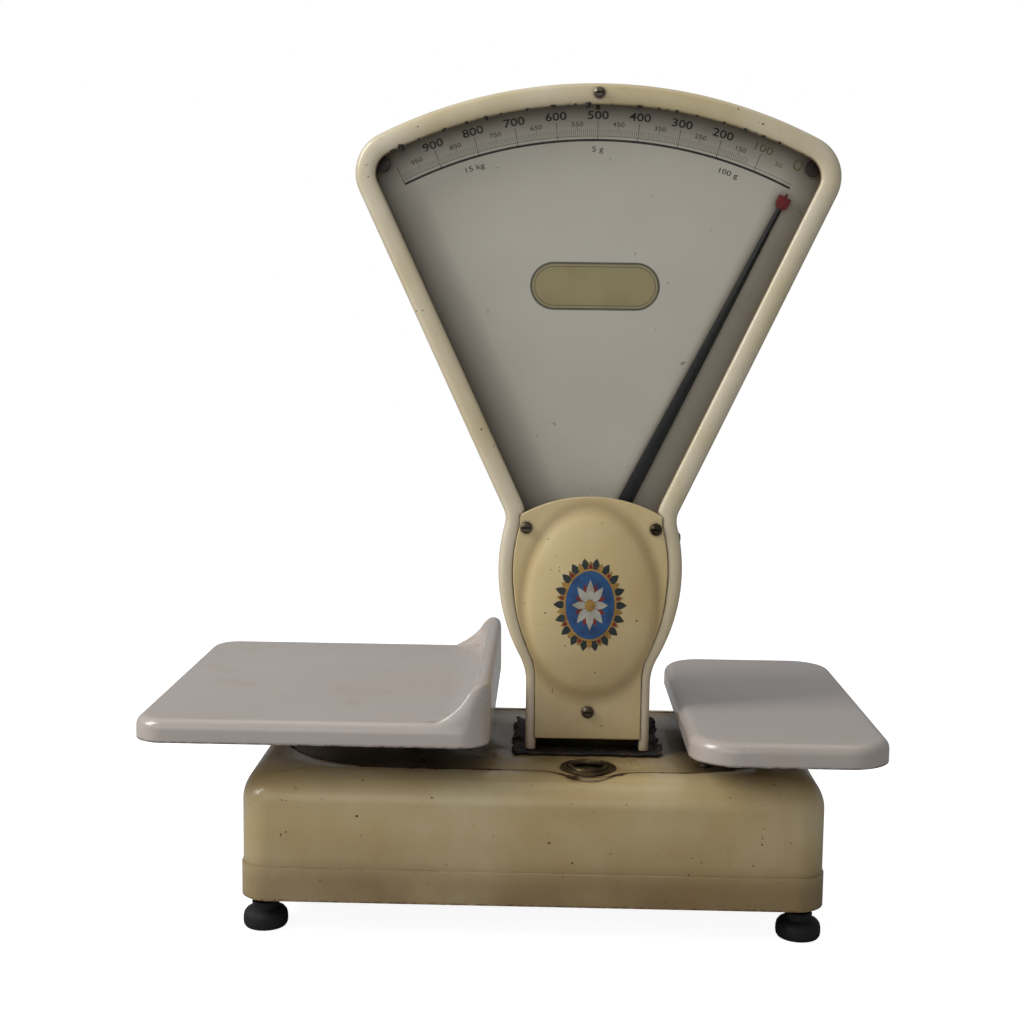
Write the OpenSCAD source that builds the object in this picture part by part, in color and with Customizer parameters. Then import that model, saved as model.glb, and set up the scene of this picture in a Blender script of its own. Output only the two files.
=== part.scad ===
// Counter scale with a fan-shaped dial head, an enclosed two-armed beam and two enamelled platters.
// X runs to the right, Y runs to the back and Z runs up. The feet stand on Z = 0.

/* [Base] */
// Width of the base shell
base_w = 440; // [420:1:470]
// Depth of the base shell
base_d = 248; // [240:1:280]
// Height of the base underside above the floor
base_z = 26; // [26:1:32]
// Height of the deck above the floor
deck_z = 122; // [120:1:125]
// Thickness of the base shell wall
shell_wall = 2; // [1.5:0.1:3]
// Height of the proud skirt band round the foot of the shell
skirt_h = 25; // [18:1:32]
// Thickness of the deck plate
deck_t = 2.5; // [2:0.1:3]
// Radius of the upright corners of the base
corner_r = 22; // [18:1:26]

/* [Feet] */
// Radius of a foot pad
foot_r = 17; // [14:0.5:19]
// Height of a foot pad
foot_h = 20; // [16:0.5:22]
// Radius of the threaded stud of a foot
stud_r = 4; // [3:0.5:5]

/* [Head] */
// Distance from the base centre to the column axis
column_x = 42; // [36:1:48]
// Height of the pointer shaft
shaft_z = 268; // [262:1:276]
// Radius of the top of the head about the pointer shaft
head_r = 373; // [368:1:382]
// Half angle between the sloping sides of the head
head_angle = 25; // [24:0.25:26]
// Depth of the head from the front of one rim to the front of the other
head_d = 92; // [88:1:98]
// Half width of the head at the pointer shaft
bulge_w = 72; // [70:0.5:75]
// Half width of the neck
neck_w = 49; // [47:0.5:51]
// Width of the rim round the dial window
rim_w = 15.5; // [13:0.5:18]
// Width of the rim beside the column cover
cover_rim_w = 8; // [7:0.5:10]
// Depth of a rim
rim_d = 8; // [7:0.5:9]
// Thickness of the wall of the head
case_wall = 2.5; // [2:0.1:3]
// Thickness of a window glass
glass_t = 3; // [2:0.5:4]
// Thickness of a dial plate
dial_t = 1.2; // [1:0.1:2]
// Depth of a dial plate behind the front of its rim
dial_back = 22; // [20:0.5:24]

/* [Pointer] */
// Radius from the shaft to the tip of the pointer
pointer_r = 328; // [300:1:330]
// Angle of the pointer from upright at zero load
pointer_angle = 26.5; // [20:0.5:27]
// Width of the pointer at its root
pointer_w = 10; // [7:0.5:12]
// Radius of the pointer shaft
shaft_r = 3; // [2.5:0.1:4]
// Radius of the pendulum weight
weight_r = 18; // [15:0.5:19]
// Distance from the shaft to the middle of the pendulum weight
weight_arm = 50; // [46:1:52]
// Throw of the crank that the pull rod turns
crank_r = 4.5; // [4:0.1:5]

/* [Beam] */
// Distance from the right end of the base to the leg of the weights platter
leg_inset = 33; // [32:1:37]
// Height of the beam pivots
beam_z = 92; // [90:1:94]
// Height of the check link pivots
link_z = 52; // [50:1:54]
// Distance from the beam pivot to the pull rod pivot
rod_arm = 46; // [42:0.5:46]
// Distance from the beam pivot to the damper
damper_arm = 74; // [70:1:80]
// Radius of the pivot pins
pin_r = 3; // [2.5:0.1:3.5]

/* [Platters] */
// Width of the goods platter
goods_w = 266; // [250:1:275]
// Width of the weights platter
weights_w = 148; // [140:1:156]
// Depth of both platters
platter_d = 300; // [280:1:310]
// Height of the top of the goods platter
goods_z = 166; // [164:1:172]
// Height of the top of the weights platter
weights_z = 160; // [158:1:166]
// Height of the edge of a platter
edge_h = 17; // [14:0.5:19]
// Wall of a platter
platter_t = 2; // [1.5:0.5:3]
// Height of the upstand above the goods platter
upstand_h = 29; // [24:1:36]

/* [Hidden] */
$fn = 48;
eps = 0.01;

// Clearances
seat_gap = 0.3;
run_gap = 0.05;
open_gap = 1.2;

// Places of the moving parts
weights_x = base_w / 2 - leg_inset;
arm_l = weights_x - column_x;
goods_x = column_x - arm_l;
goods_mid_x = -165;
goods_mid_y = 15;
weights_mid_x = 189;
weights_mid_y = 0;

// The finished part is set down so that its origin is below the middle of its outline
part_x0 = goods_mid_x - goods_w / 2;
part_x1 = weights_mid_x + weights_w / 2;
shift_x = -(part_x0 + part_x1) / 2;
shift_y = -goods_mid_y / 2;

// Base
floor_t = 4;
shoulder_front = 28;
shoulder_side = 16;
shoulder_z = deck_z - 22;
deck_w = base_w - 2 * shoulder_side - 2 * shell_wall;
deck_d = base_d - 2 * shoulder_front - 2 * shell_wall;
deck_end_x = deck_w / 2 - deck_d / 2;
tongue_r = 26.5;
tongue_fillet = 42;
level_y = -84;
level_r = 21.5;
level_depth = 11;
foot_x = base_w / 2 - foot_r;
foot_y = base_d / 2 - foot_r - 3;
boss_r = 11;
boss_h = 20;
post_y = 34;
post_t = 8;
post_w = 16;
pillar_r = 6;
pillar_xs = [-88, 132];
pillar_y = deck_d / 2 - 18;
screw_r = 2;
screw_l = 14;
deck_screw_head = 4;
leg_hole_r = 11;
column_hole_w = 2 * (neck_w - case_wall - 2);
column_hole_d = head_d - 30;

// Beam and link
cheek_y = 21.5;
cheek_t = 5;
cheek_h = 12;
bridge_w = 8;
bridge_inset = 24;
leg_w = 16;
leg_d = 34;
stem_r = 7;
pin_l = 2 * (cheek_y + cheek_t) + 2;
spider_t = 7;
spider_hub_r = 22;
pad_r = 9;
pad_h = 5;
goods_pad_x = 90;
goods_pad_y = 105;
weights_pad_x = 48;
weights_pad_y = 100;
goods_spider_z = goods_z - platter_t - pad_h - spider_t - seat_gap;
weights_spider_z = weights_z - platter_t - pad_h - spider_t - seat_gap;
tray_lip = 8;
goods_corner_r = 24;
weights_corner_r = 34;
balance_w = 34;
balance_l = 44;
balance_h = 52;
balance_neck_h = 14;
balance_y = cheek_y + cheek_t + 3.5 - leg_d / 2;
balance_z = (beam_z + link_z) / 2;
damper_r = 15;
damper_h = 34;
damper_wall = 2;
damper_cap_t = 3;
piston_r = damper_r - damper_wall - 0.5;
piston_rod_r = 2.5;

// Head
apex_drop = 99;
bulge_r = 143;
waist_r = 18;
neck_fillet_r = 45;
head_corner_r = 32;
neck_z = deck_z + 3 + seat_gap;
cover_z = neck_z + 9;
cover_t = 3;
cover_top_r = 110;
cover_top_z = 327;
dome_w = 104;
dome_h = 152;
dome_z = 243;
dome_rise = 9;
head_front = -head_d / 2;
window_z = 296;
glass_bottom_z = 309;
glass_lap = 4;
lug_d = 8;
lug_w = 12;
lug_h = 10;
lug_reach = 20;
cover_screw_head = 4.6;
rim_screw_head = 4.2;
side_screw_head = 4.4;
side_screw_l = 7;
side_screw_rise = 22;
dial_bottom_z = 288;
bearing_r = 8;
bracket_t = 5;
bracket_h = 20;
bracket_y = 13;
web_r = 9;
web_y = 5;
web_t = 3;
pointer_t = 1.6;
pointer_y = head_d / 2 - dial_back + 4;
button_r = 6;
button_drop = 18.7;
button_angle = 27.94;
button_x = (head_r - button_drop) * sin(button_angle);
button_z = shaft_z + (head_r - button_drop) * cos(button_angle);
rod_r = 2;
eye_r = 4.2;

// Points of an arc from angle a0 to angle a1
function arc(cx, cz, r, a0, a1, n) = [for (i = [0:n]) let (a = a0 + (a1 - a0) * i / n)
    [cx + r * cos(a), cz + r * sin(a)]];

// Half length of a bearing bracket, which spans the case at the height of the shaft
bracket_x = sqrt(pow(bulge_r - 1 - case_wall, 2) - pow(bracket_h / 2, 2)) + bulge_w - bulge_r - seat_gap;

// Screws of one column cover: two beside its shoulders and one above its foot
cover_screw_z = 302;
cover_screw_x = 50.5;
foot_screw_z = 156;

// At zero load the crank stands above the level on the left by the pointer angle
crank_x = -crank_r * cos(pointer_angle);
crank_z = shaft_z + crank_r * sin(pointer_angle);

// Upstand of the goods platter
upstand_t = 12;
upstand_fillet = 19;
upstand_round = 15;
upstand_end = 1.5;

// Centres of the arcs that make the right half of the head outline
apex_z = shaft_z - apex_drop;
bulge_cx = bulge_w - bulge_r;
side_n = [cos(head_angle), -sin(head_angle)];
side_t = [sin(head_angle), cos(head_angle)];
apex = [0, apex_z];

// Along the sloping side, how far the point at distance w from the line is at distance r from c
function along(c, w, r) = let (q = apex + w * side_n - c, b = q * side_t, k = q * q - r * r)
    -b + sqrt(b * b - k);
function along_low(c, w, r) = let (q = apex + w * side_n - c, b = q * side_t, k = q * q - r * r)
    -b - sqrt(b * b - k);
shaft_c = [0, shaft_z];
bulge_c = [bulge_cx, shaft_z];
corner_c = apex - head_corner_r * side_n + side_t * along(shaft_c, -head_corner_r, head_r - head_corner_r);
waist_c = apex + waist_r * side_n + side_t * along(bulge_c, waist_r, bulge_r + waist_r);
neck_cx = neck_w + neck_fillet_r;
neck_cz = shaft_z - sqrt(pow(bulge_r + neck_fillet_r, 2) - pow(neck_cx - bulge_cx, 2));
function angle_of(v) = atan2(v[1], v[0]);

// Right half of the head outline, drawn in by e, from the foot of the neck to the crown
function half_outline(e, z0) = let (
    a_neck = angle_of([bulge_cx - neck_cx, shaft_z - neck_cz]),
    a_bulge0 = angle_of([neck_cx - bulge_cx, neck_cz - shaft_z]),
    a_bulge1 = angle_of(waist_c - bulge_c),
    a_waist0 = angle_of(bulge_c - waist_c),
    a_corner1 = angle_of(corner_c - shaft_c))
    concat([[neck_w - e, z0]],
        arc(neck_cx, neck_cz, neck_fillet_r + e, 180, a_neck, 6),
        arc(bulge_cx, shaft_z, bulge_r - e, a_bulge0, a_bulge1, 12),
        arc(waist_c[0], waist_c[1], waist_r + e, a_waist0 + 360, 180 - head_angle, 5),
        arc(corner_c[0], corner_c[1], head_corner_r - e, -head_angle, a_corner1, 10),
        arc(0, shaft_z, head_r - e, a_corner1, 90, 16));

function mirrored(p) = [for (i = [len(p) - 2:-1:0]) [-p[i][0], p[i][1]]];
function outline(e, z0) = let (h = half_outline(e, z0)) concat(h, mirrored(h));

// Moves a piece from the base frame to the frame of the finished part
module set_down() {
    translate([shift_x, shift_y, 0])
        children();
}

// Turns a flat drawing in X and Z into a plate from y0 to y1
module upright(y0, y1) {
    translate([0, y1, 0])
        rotate([90, 0, 0])
            linear_extrude(y1 - y0)
                children();
}

// A cylinder along Y
module cross_rod(x, z, y0, y1, r) {
    translate([x, y1, z])
        rotate([90, 0, 0])
            cylinder(h = y1 - y0, r = r);
}

// A block with round upright corners
module round_block(w, d, h, r) {
    cube([w - 2 * r, d, h], center = true);
    cube([w, d - 2 * r, h], center = true);
    for (x = [-1, 1], y = [-1, 1])
        translate([x * (w / 2 - r), y * (d / 2 - r), -h / 2])
            cylinder(h = h, r = r);
}

module at_feet() {
    for (x = [-1, 1], y = [-1, 1])
        translate([x * foot_x, y * foot_y, 0])
            children();
}

module at_pillars() {
    for (x = pillar_xs, y = [-1, 1])
        translate([x, y * pillar_y, 0])
            children();
}

// A dished screw head with a slot, on top of a shank, pointing down
module screw(r, l, head) {
    difference() {
        union() {
            translate([0, 0, -l])
                cylinder(h = l, r = r);
            cylinder(h = head * 0.35, r = head);
            translate([0, 0, head * 0.35 - eps])
                cylinder(h = head * 0.3, r1 = head, r2 = head * 0.6);
        }
        translate([0, 0, head * 0.65])
            cube([head * 3, head * 0.3, head * 0.5], center = true);
    }
}

// Base

module base_frame() {
    color("dimgray")
        set_down()
            difference() {
                union() {
                    translate([0, 0, base_z + floor_t / 2])
                        round_block(base_w - 2 * shell_wall - 2 * seat_gap,
                            base_d - 2 * shell_wall - 2 * seat_gap, floor_t,
                            corner_r - shell_wall);
                    at_feet()
                        translate([0, 0, base_z])
                            cylinder(h = boss_h, r = boss_r);
                    at_pillars()
                        translate([0, 0, base_z])
                            cylinder(h = deck_z - deck_t - base_z, r = pillar_r);
                    for (s = [-1, 1])
                        translate([column_x - post_w / 2, s * post_y - post_t / 2, base_z])
                            cube([post_w, post_t, beam_z + 10 - base_z]);
                }
                at_feet()
                    translate([0, 0, base_z - eps])
                        cylinder(h = boss_h + 2 * eps, r = stud_r + run_gap);
                at_pillars()
                    translate([0, 0, deck_z - deck_t - 16])
                        cylinder(h = 17, r = screw_r + run_gap);
                for (z = [beam_z, link_z])
                    cross_rod(column_x, z, -post_y - post_t, post_y + post_t, pin_r + run_gap);
            }
}

// Outline of the deck plate, drawn in by e: round ends, and a tongue under the level
function deck_outline(e) = let (
    fillet_y = -deck_d / 2 - tongue_fillet,
    fillet_dx = sqrt(pow(tongue_r + tongue_fillet, 2) - pow(level_y - fillet_y, 2)),
    turn = atan2(level_y - fillet_y, fillet_dx))
    concat(arc(deck_end_x, 0, deck_d / 2 - e, -90, 90, 24),
        arc(-deck_end_x, 0, deck_d / 2 - e, 90, 270, 24),
        arc(column_x - fillet_dx, fillet_y, tongue_fillet + e, 90, turn, 6),
        arc(column_x, level_y, tongue_r - e, 180 + turn, 360 - turn, 12),
        arc(column_x + fillet_dx, fillet_y, tongue_fillet + e, 180 - turn, 90, 6));

// Solid form of the base shell from z0 to top, drawn in by e, with its rounded shoulder
module base_form(e, z0, top) {
    hull() {
        translate([0, 0, (z0 + shoulder_z) / 2])
            round_block(base_w - 2 * e, base_d - 2 * e, shoulder_z - z0, corner_r - e);
        for (a = [27, 63, 90])
            translate([0, 0, shoulder_z + (top - shoulder_z) * sin(a) - 0.5])
                    round_block(base_w - 2 * e - 2 * shoulder_side * (1 - cos(a)),
                        base_d - 2 * e - 2 * shoulder_front * (1 - cos(a)), 1, corner_r - e);
    }
}

module base_shell() {
    color("wheat")
        set_down()
            difference() {
                union() {
                    base_form(0, base_z, deck_z);
                    translate([0, 0, base_z + skirt_h / 2])
                        round_block(base_w + 2, base_d + 2, skirt_h, corner_r + 1);
                }
                base_form(shell_wall, base_z - 1, deck_z - deck_t);
                translate([0, 0, shoulder_z])
                    linear_extrude(deck_z - shoulder_z + 1)
                        polygon(deck_outline(-seat_gap));
            }
}

module deck_plate() {
    color("wheat")
        set_down()
            difference() {
                intersection() {
                    base_form(0, base_z, deck_z);
                    union() {
                        translate([0, 0, deck_z - deck_t])
                            linear_extrude(deck_t)
                                polygon(deck_outline(0));
                        translate([column_x, level_y, deck_z - level_depth])
                            cylinder(h = level_depth, r = tongue_r);
                    }
                }
                translate([column_x, level_y, deck_z - level_depth + 2])
                    cylinder(h = level_depth, r = level_r - 3);
                translate([column_x, level_y, deck_z - 2.4])
                    cylinder(h = 3, r = level_r + run_gap);
                for (x = [goods_x, weights_x])
                    translate([x, 0, deck_z - deck_t - 1])
                        cylinder(h = deck_t + 2, r = leg_hole_r);
                translate([column_x, 0, deck_z])
                    cube([column_hole_w, column_hole_d, 4 * deck_t], center = true);
                at_pillars()
                    translate([0, 0, deck_z - deck_t - 1])
                        cylinder(h = deck_t + 2, r = screw_r + run_gap);
            }
}

module deck_screws() {
    color("gray")
        set_down()
            at_pillars()
                translate([0, 0, deck_z])
                    screw(screw_r, screw_l, deck_screw_head);
}

module level_ring() {
    color("dimgray")
        set_down()
            translate([column_x, level_y, deck_z])
                rotate_extrude()
                    polygon([[level_r - 8, 0], [level_r - 3.3, 0], [level_r - 3.3, -2.4], [level_r, -2.4],
                        [level_r, 1.2], [level_r - 3, 3], [level_r - 6, 3], [level_r - 7, 1.8],
                        [level_r - 8, 1.8]]);
}

module level_glass() {
    color("black")
        set_down()
            translate([column_x, level_y, deck_z - level_depth + 2])
                rotate_extrude()
                    polygon([[0, 0], [level_r - 3.3, 0], [level_r - 3.3, level_depth - 2.3],
                        [level_r - 8.3, level_depth - 2.3], [level_r - 8.3, level_depth - 1],
                        [0, level_depth]]);
}

// Feet

module foot_pad(x, y) {
    color("black")
        set_down()
            translate([x * foot_x, y * foot_y, 0])
                difference() {
                    rotate_extrude()
                        polygon(concat([[0, 0], [foot_r - 4, 0]],
                            arc(foot_r - 6, 8, 6, -60, 50, 6),
                            [[foot_r - 8, foot_h - 6], [foot_r - 9, foot_h], [0, foot_h]]));
                    translate([0, 0, foot_h - 10])
                        cylinder(h = 11, r = stud_r);
                }
}

module foot_stud(x, y) {
    color("silver")
        set_down()
            translate([x * foot_x, y * foot_y, foot_h - 10]) {
                cylinder(h = base_z + boss_h - foot_h + 4, r = stud_r);
                translate([0, 0, 10])
                    cylinder(h = 4, r = stud_r * 1.8, $fn = 6);
            }
}

module foot_pad_front_left() { foot_pad(-1, -1); }
module foot_pad_front_right() { foot_pad(1, -1); }
module foot_pad_rear_left() { foot_pad(-1, 1); }
module foot_pad_rear_right() { foot_pad(1, 1); }
module foot_stud_front_left() { foot_stud(-1, -1); }
module foot_stud_front_right() { foot_stud(1, -1); }
module foot_stud_rear_left() { foot_stud(-1, 1); }
module foot_stud_rear_right() { foot_stud(1, 1); }

// Head

module at_column() {
    set_down()
        translate([column_x, 0, 0])
            children();
}

module column_gasket() {
    color("black")
        at_column()
            translate([0, 0, deck_z + 1.5])
                difference() {
                    cube([2 * neck_w + 22, head_d + 16, 3], center = true);
                    cube([column_hole_w, column_hole_d, 4], center = true);
                }
}

// The part of the outline above or below a height
module window_shape(e, z0) {
    intersection() {
        polygon(outline(e, neck_z));
        translate([-head_r, z0])
            square([2 * head_r, head_r * 2]);
    }
}

module cover_shape(e) {
    difference() {
        intersection() {
            polygon(outline(cover_rim_w + e, neck_z));
            translate([0, cover_top_z - cover_top_r])
                circle(r = cover_top_r - e, $fn = 96);
        }
        translate([-head_r, 0])
            square([2 * head_r, cover_z + e]);
    }
}

// Lugs inside the case that take the rim and cover screws of one side
module case_lugs() {
    lug_r = rim_w - glass_lap - 0.5;
    intersection() {
        upright(head_front + rim_d, head_front + rim_d + lug_d)
            polygon(outline(1.5, neck_z));
        union() {
            translate([-lug_w / 2, head_front, shaft_z + head_r - lug_r])
                cube([lug_w, rim_d + lug_d, lug_r]);
            for (x = [-cover_screw_x, cover_screw_x])
                translate([x - sign(x) * lug_w / 2 - (x < 0 ? lug_reach : 0), head_front,
                    cover_screw_z - lug_h / 2])
                    cube([lug_reach, rim_d + lug_d, lug_h]);
            translate([-neck_w, head_front, foot_screw_z - lug_h / 2])
                cube([2 * neck_w, rim_d + lug_d, lug_h]);
        }
    }
}

module head_case() {
    color("wheat")
        at_column()
            difference() {
                union() {
                    difference() {
                        upright(head_front + rim_d, -head_front - rim_d)
                            polygon(outline(1, neck_z));
                        upright(head_front, -head_front)
                            polygon(outline(1 + case_wall, neck_z - 5));
                    }
                    for (s = [-1, 1])
                        scale_y(s)
                            case_lugs();
                }
                for (s = [-1, 1])
                    scale_y(s) {
                        at_cover_screws()
                            translate([0, 0, -rim_d - lug_d - 1])
                                cylinder(h = 20, r = screw_r + run_gap);
                        cross_rod(0, shaft_z + head_r - rim_w / 2, head_front,
                            head_front + rim_d + lug_d + 1, screw_r + run_gap);
                    }
                translate([bulge_w - case_wall - 5, 0, shaft_z + 22])
                    rotate([0, 90, 0])
                        cylinder(h = 12, r = screw_r + run_gap);
            }
}

module rim(s) {
    color("wheat")
        at_column()
            difference() {
                scale_y(s)
                    union() {
                        upright(head_front + 2.5, head_front + rim_d)
                            polygon(outline(0, neck_z));
                        upright(head_front + 1, head_front + 2.5)
                            polygon(outline(1.2, neck_z));
                        upright(head_front, head_front + 1)
                            polygon(outline(3, neck_z));
                    }
                scale_y(s)
                    upright(head_front - 1, head_front + rim_d + 1)
                        window_shape(rim_w, window_z);
                scale_y(s)
                    upright(head_front - 1, head_front + rim_d + 1)
                        cover_shape(-seat_gap);
                scale_y(s)
                    upright(head_front - 1, head_front + rim_d + 1)
                        translate([cover_rim_w - neck_w, neck_z - 5])
                            square([2 * (neck_w - cover_rim_w), cover_z - neck_z + 10]);
                scale_y(s)
                    cross_rod(0, shaft_z + head_r - rim_w / 2, head_front - 1,
                        head_front + rim_d + 1, screw_r + run_gap);
            }
}

// The front is at s = 1 and its mirror image at the rear is at s = -1
module scale_y(s) {
    if (s > 0)
        children();
    else
        mirror([0, 1, 0])
            children();
}

module front_rim() { rim(1); }
module rear_rim() { rim(-1); }

module glass(s) {
    color("lightblue", 0.3)
        at_column()
            scale_y(s)
                upright(head_front + rim_d, head_front + rim_d + glass_t)
                    window_shape(rim_w - glass_lap, glass_bottom_z);
}

module front_glass() { glass(1); }
module rear_glass() { glass(-1); }

module dial(s) {
    color("ivory")
        at_column()
            scale_y(s)
                upright(head_front + dial_back, head_front + dial_back + dial_t)
                    difference() {
                        window_shape(1 + case_wall + seat_gap, dial_bottom_z);
                        for (x = [-1, 1])
                            translate([x * button_x, button_z])
                                circle(r = screw_r + run_gap);
                    }
}

module front_dial() { dial(1); }
module rear_dial() { dial(-1); }

module dial_buttons() {
    color("black")
        at_column()
            for (s = [-1, 1], x = [-1, 1])
                scale_y(s)
                    union() {
                        cross_rod(x * button_x, button_z, head_front + dial_back - 5,
                            head_front + dial_back, button_r);
                        cross_rod(x * button_x, button_z, head_front + dial_back - 5,
                            head_front + dial_back + dial_t + 2, screw_r);
                    }
}

module at_cover_screws() {
    for (p = [[-cover_screw_x, cover_screw_z], [cover_screw_x, cover_screw_z], [0, foot_screw_z]])
        translate([p[0], head_front, p[1]])
            rotate([90, 0, 0])
                children();
}

module cover(s) {
    color("wheat")
        at_column()
            scale_y(s)
                difference() {
                    union() {
                        upright(head_front, head_front + cover_t)
                            cover_shape(0);
                        intersection() {
                            translate([0, head_front, dome_z])
                                scale([dome_w / 2, dome_rise, dome_h / 2])
                                    sphere(r = 1, $fn = 40);
                            upright(head_front - dome_rise - 1, head_front + 1)
                                cover_shape(0);
                        }
                    }
                    at_cover_screws()
                        translate([0, 0, -cover_t - 3])
                            cylinder(h = cover_t + 4, r = screw_r + run_gap);
                }
}

module front_cover() { cover(1); }
module rear_cover() { cover(-1); }

module cover_screws() {
    color("gray")
        at_column()
            for (s = [-1, 1])
                scale_y(s)
                    at_cover_screws()
                        screw(screw_r, screw_l, cover_screw_head);
}

module rim_screws() {
    color("gray")
        at_column()
            for (s = [-1, 1])
                scale_y(s)
                    translate([0, head_front, shaft_z + head_r - rim_w / 2])
                        rotate([90, 0, 0])
                            screw(screw_r, rim_d + lug_d / 2, rim_screw_head);
}

module side_screw() {
    color("gray")
        at_column()
            translate([bulge_w - 1.2, 0, shaft_z + side_screw_rise])
                rotate([0, 90, 0])
                    screw(screw_r, side_screw_l, side_screw_head);
}

// Bearings, shaft and pointers

module bearing_brackets() {
    color("silver")
        at_column()
            difference() {
                for (s = [-1, 1])
                    translate([0, s * (bracket_y + bracket_t / 2), shaft_z])
                        cube([2 * bracket_x, bracket_t, bracket_h], center = true);
                cross_rod(0, shaft_z, -bracket_y - bracket_t - 1, bracket_y + bracket_t + 1,
                    bearing_r);
            }
}

module shaft_bearings() {
    color("gray")
        at_column()
            for (s = [-1, 1])
                scale_y(s)
                    difference() {
                        cross_rod(0, shaft_z, bracket_y, bracket_y + bracket_t, bearing_r);
                        cross_rod(0, shaft_z, bracket_y - 1, bracket_y + bracket_t + 1,
                            shaft_r + run_gap);
                    }
}

module pointer_shaft() {
    color("silver")
        at_column() {
            for (s = [-1, 1])
                scale_y(s) {
                    cross_rod(0, shaft_z, web_y, web_y + web_t, web_r);
                    cross_rod(0, shaft_z, web_y + web_t - eps, pointer_y + 2, shaft_r);
                }
            cross_rod(crank_x, crank_z, -web_y - eps, web_y + eps, 1.5);
        }
}

// One pointer, from its hub to its tip, turned to the zero mark
module pointer(s, turn) {
    color("black")
        at_column()
            scale_y(s)
                translate([0, 0, shaft_z])
                    rotate([0, turn, 0])
                        difference() {
                            union() {
                                upright(-pointer_y - pointer_t, -pointer_y)
                                    polygon([[-pointer_w / 2, 0], [pointer_w / 2, 0],
                                        [1.2, pointer_r - 14], [5, pointer_r - 12],
                                        [0, pointer_r], [-5, pointer_r - 12],
                                        [-1.2, pointer_r - 14]]);
                                cross_rod(0, 0, -pointer_y - 2.5, -pointer_y + 1, 9);
                            }
                            cross_rod(0, 0, -pointer_y - 4, -pointer_y + 2, shaft_r);
                        }
}

module front_pointer() { pointer(1, pointer_angle); }
module rear_pointer() { pointer(-1, pointer_angle); }

module pendulum_arm() {
    color("silver")
        at_column()
            translate([0, 0, shaft_z])
                difference() {
                    union() {
                        cross_rod(0, 0, web_y + web_t, web_y + web_t + 3.5, 7);
                        translate([-4, web_y + web_t, -weight_arm - 8])
                            cube([8, 3.5, weight_arm + 8]);
                    }
                    cross_rod(0, 0, web_y, web_y + 9, shaft_r);
                }
}

module pendulum_weight() {
    color("dimgray")
        at_column()
            translate([0, 0, shaft_z])
                difference() {
                    cross_rod(0, -weight_arm, web_y + web_t - 1.5, web_y + web_t + 10, weight_r);
                    translate([-4, web_y + web_t - 5, -weight_arm - 8])
                        cube([8, 5 + 3.5, weight_arm + 8]);
                }
}

// Pull rod from the beam to the crank
module pull_rod() {
    x0 = -rod_arm;
    lean = atan2(crank_x - x0, crank_z - beam_z);
    rod_l = sqrt(pow(crank_x - x0, 2) + pow(crank_z - beam_z, 2));
    color("silver")
        at_column()
            difference() {
                union() {
                    cross_rod(x0, beam_z, -3, 3, eye_r + 1);
                    cross_rod(crank_x, crank_z, -3, 3, eye_r);
                    translate([x0, 0, beam_z])
                        rotate([0, lean, 0])
                            translate([0, 0, 3])
                                cylinder(h = rod_l - 6, r = rod_r);
                }
                cross_rod(x0, beam_z, -4, 4, 2.5 + run_gap);
                cross_rod(crank_x, crank_z, -4, 4, 1.5 + open_gap);
            }
}

// Beam and check link

// Two cheeks tied by a bridge on each side of the pivot
module lever(z, hole_r) {
    difference() {
        union() {
            for (s = [-1, 1])
                scale_y(s)
                    upright(cheek_y, cheek_y + cheek_t)
                        union() {
                            translate([-arm_l, z - cheek_h / 2])
                                square([2 * arm_l, cheek_h]);
                            for (x = [-arm_l, arm_l])
                                translate([x, z])
                                    circle(r = cheek_h / 2 + 2);
                            translate([0, z])
                                circle(r = cheek_h / 2 + 3);
                        }
            for (x = [-arm_l + bridge_inset, arm_l - bridge_inset])
                translate([x, 0, z])
                    cube([bridge_w, 2 * cheek_y + 1, cheek_h - 2], center = true);
        }
        cross_rod(0, z, -cheek_y - cheek_t - 1, cheek_y + cheek_t + 1, pin_r + run_gap);
        for (x = [-arm_l, arm_l])
            cross_rod(x, z, -cheek_y - cheek_t - 1, cheek_y + cheek_t + 1, hole_r);
    }
}

module beam() {
    color("dimgray")
        at_column()
            difference() {
                lever(beam_z, pin_r + run_gap);
                for (x = [-rod_arm, damper_arm])
                    cross_rod(x, beam_z, -cheek_y - cheek_t - 1, cheek_y + cheek_t + 1, 2.5);
            }
}

module check_link() {
    color("dimgray")
        at_column()
            lever(link_z, pin_r + open_gap);
}

module frame_pin(z) {
    color("silver")
        at_column()
            cross_rod(0, z, -post_y - post_t / 2, post_y + post_t / 2, pin_r);
}

module beam_pin() { frame_pin(beam_z); }
module link_pin() { frame_pin(link_z); }

module rod_pin() {
    color("silver")
        at_column()
            for (x = [-rod_arm, damper_arm])
                cross_rod(x, beam_z, -cheek_y - cheek_t, cheek_y + cheek_t, 2.5);
}

// Legs, knife pins and spiders

module leg(x, top) {
    color("dimgray")
        set_down()
            difference() {
                union() {
                    translate([x - leg_w / 2, -leg_d / 2, link_z - 7])
                        cube([leg_w, leg_d, beam_z - link_z + 17]);
                    translate([x, 0, beam_z])
                        cylinder(h = top - beam_z, r = stem_r);
                }
                for (z = [beam_z, link_z])
                    cross_rod(x, z, -leg_d, leg_d, pin_r);
            }
}

module leg_pin(x, z) {
    color("silver")
        set_down()
            cross_rod(x, z, -pin_l / 2, pin_l / 2, pin_r);
}

module goods_leg() { leg(goods_x, goods_spider_z); }
module weights_leg() { leg(weights_x, weights_spider_z); }
module goods_knife_pin() { leg_pin(goods_x, beam_z); }
module goods_link_pin() { leg_pin(goods_x, link_z); }
module weights_knife_pin() { leg_pin(weights_x, beam_z); }
module weights_link_pin() { leg_pin(weights_x, link_z); }

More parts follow.
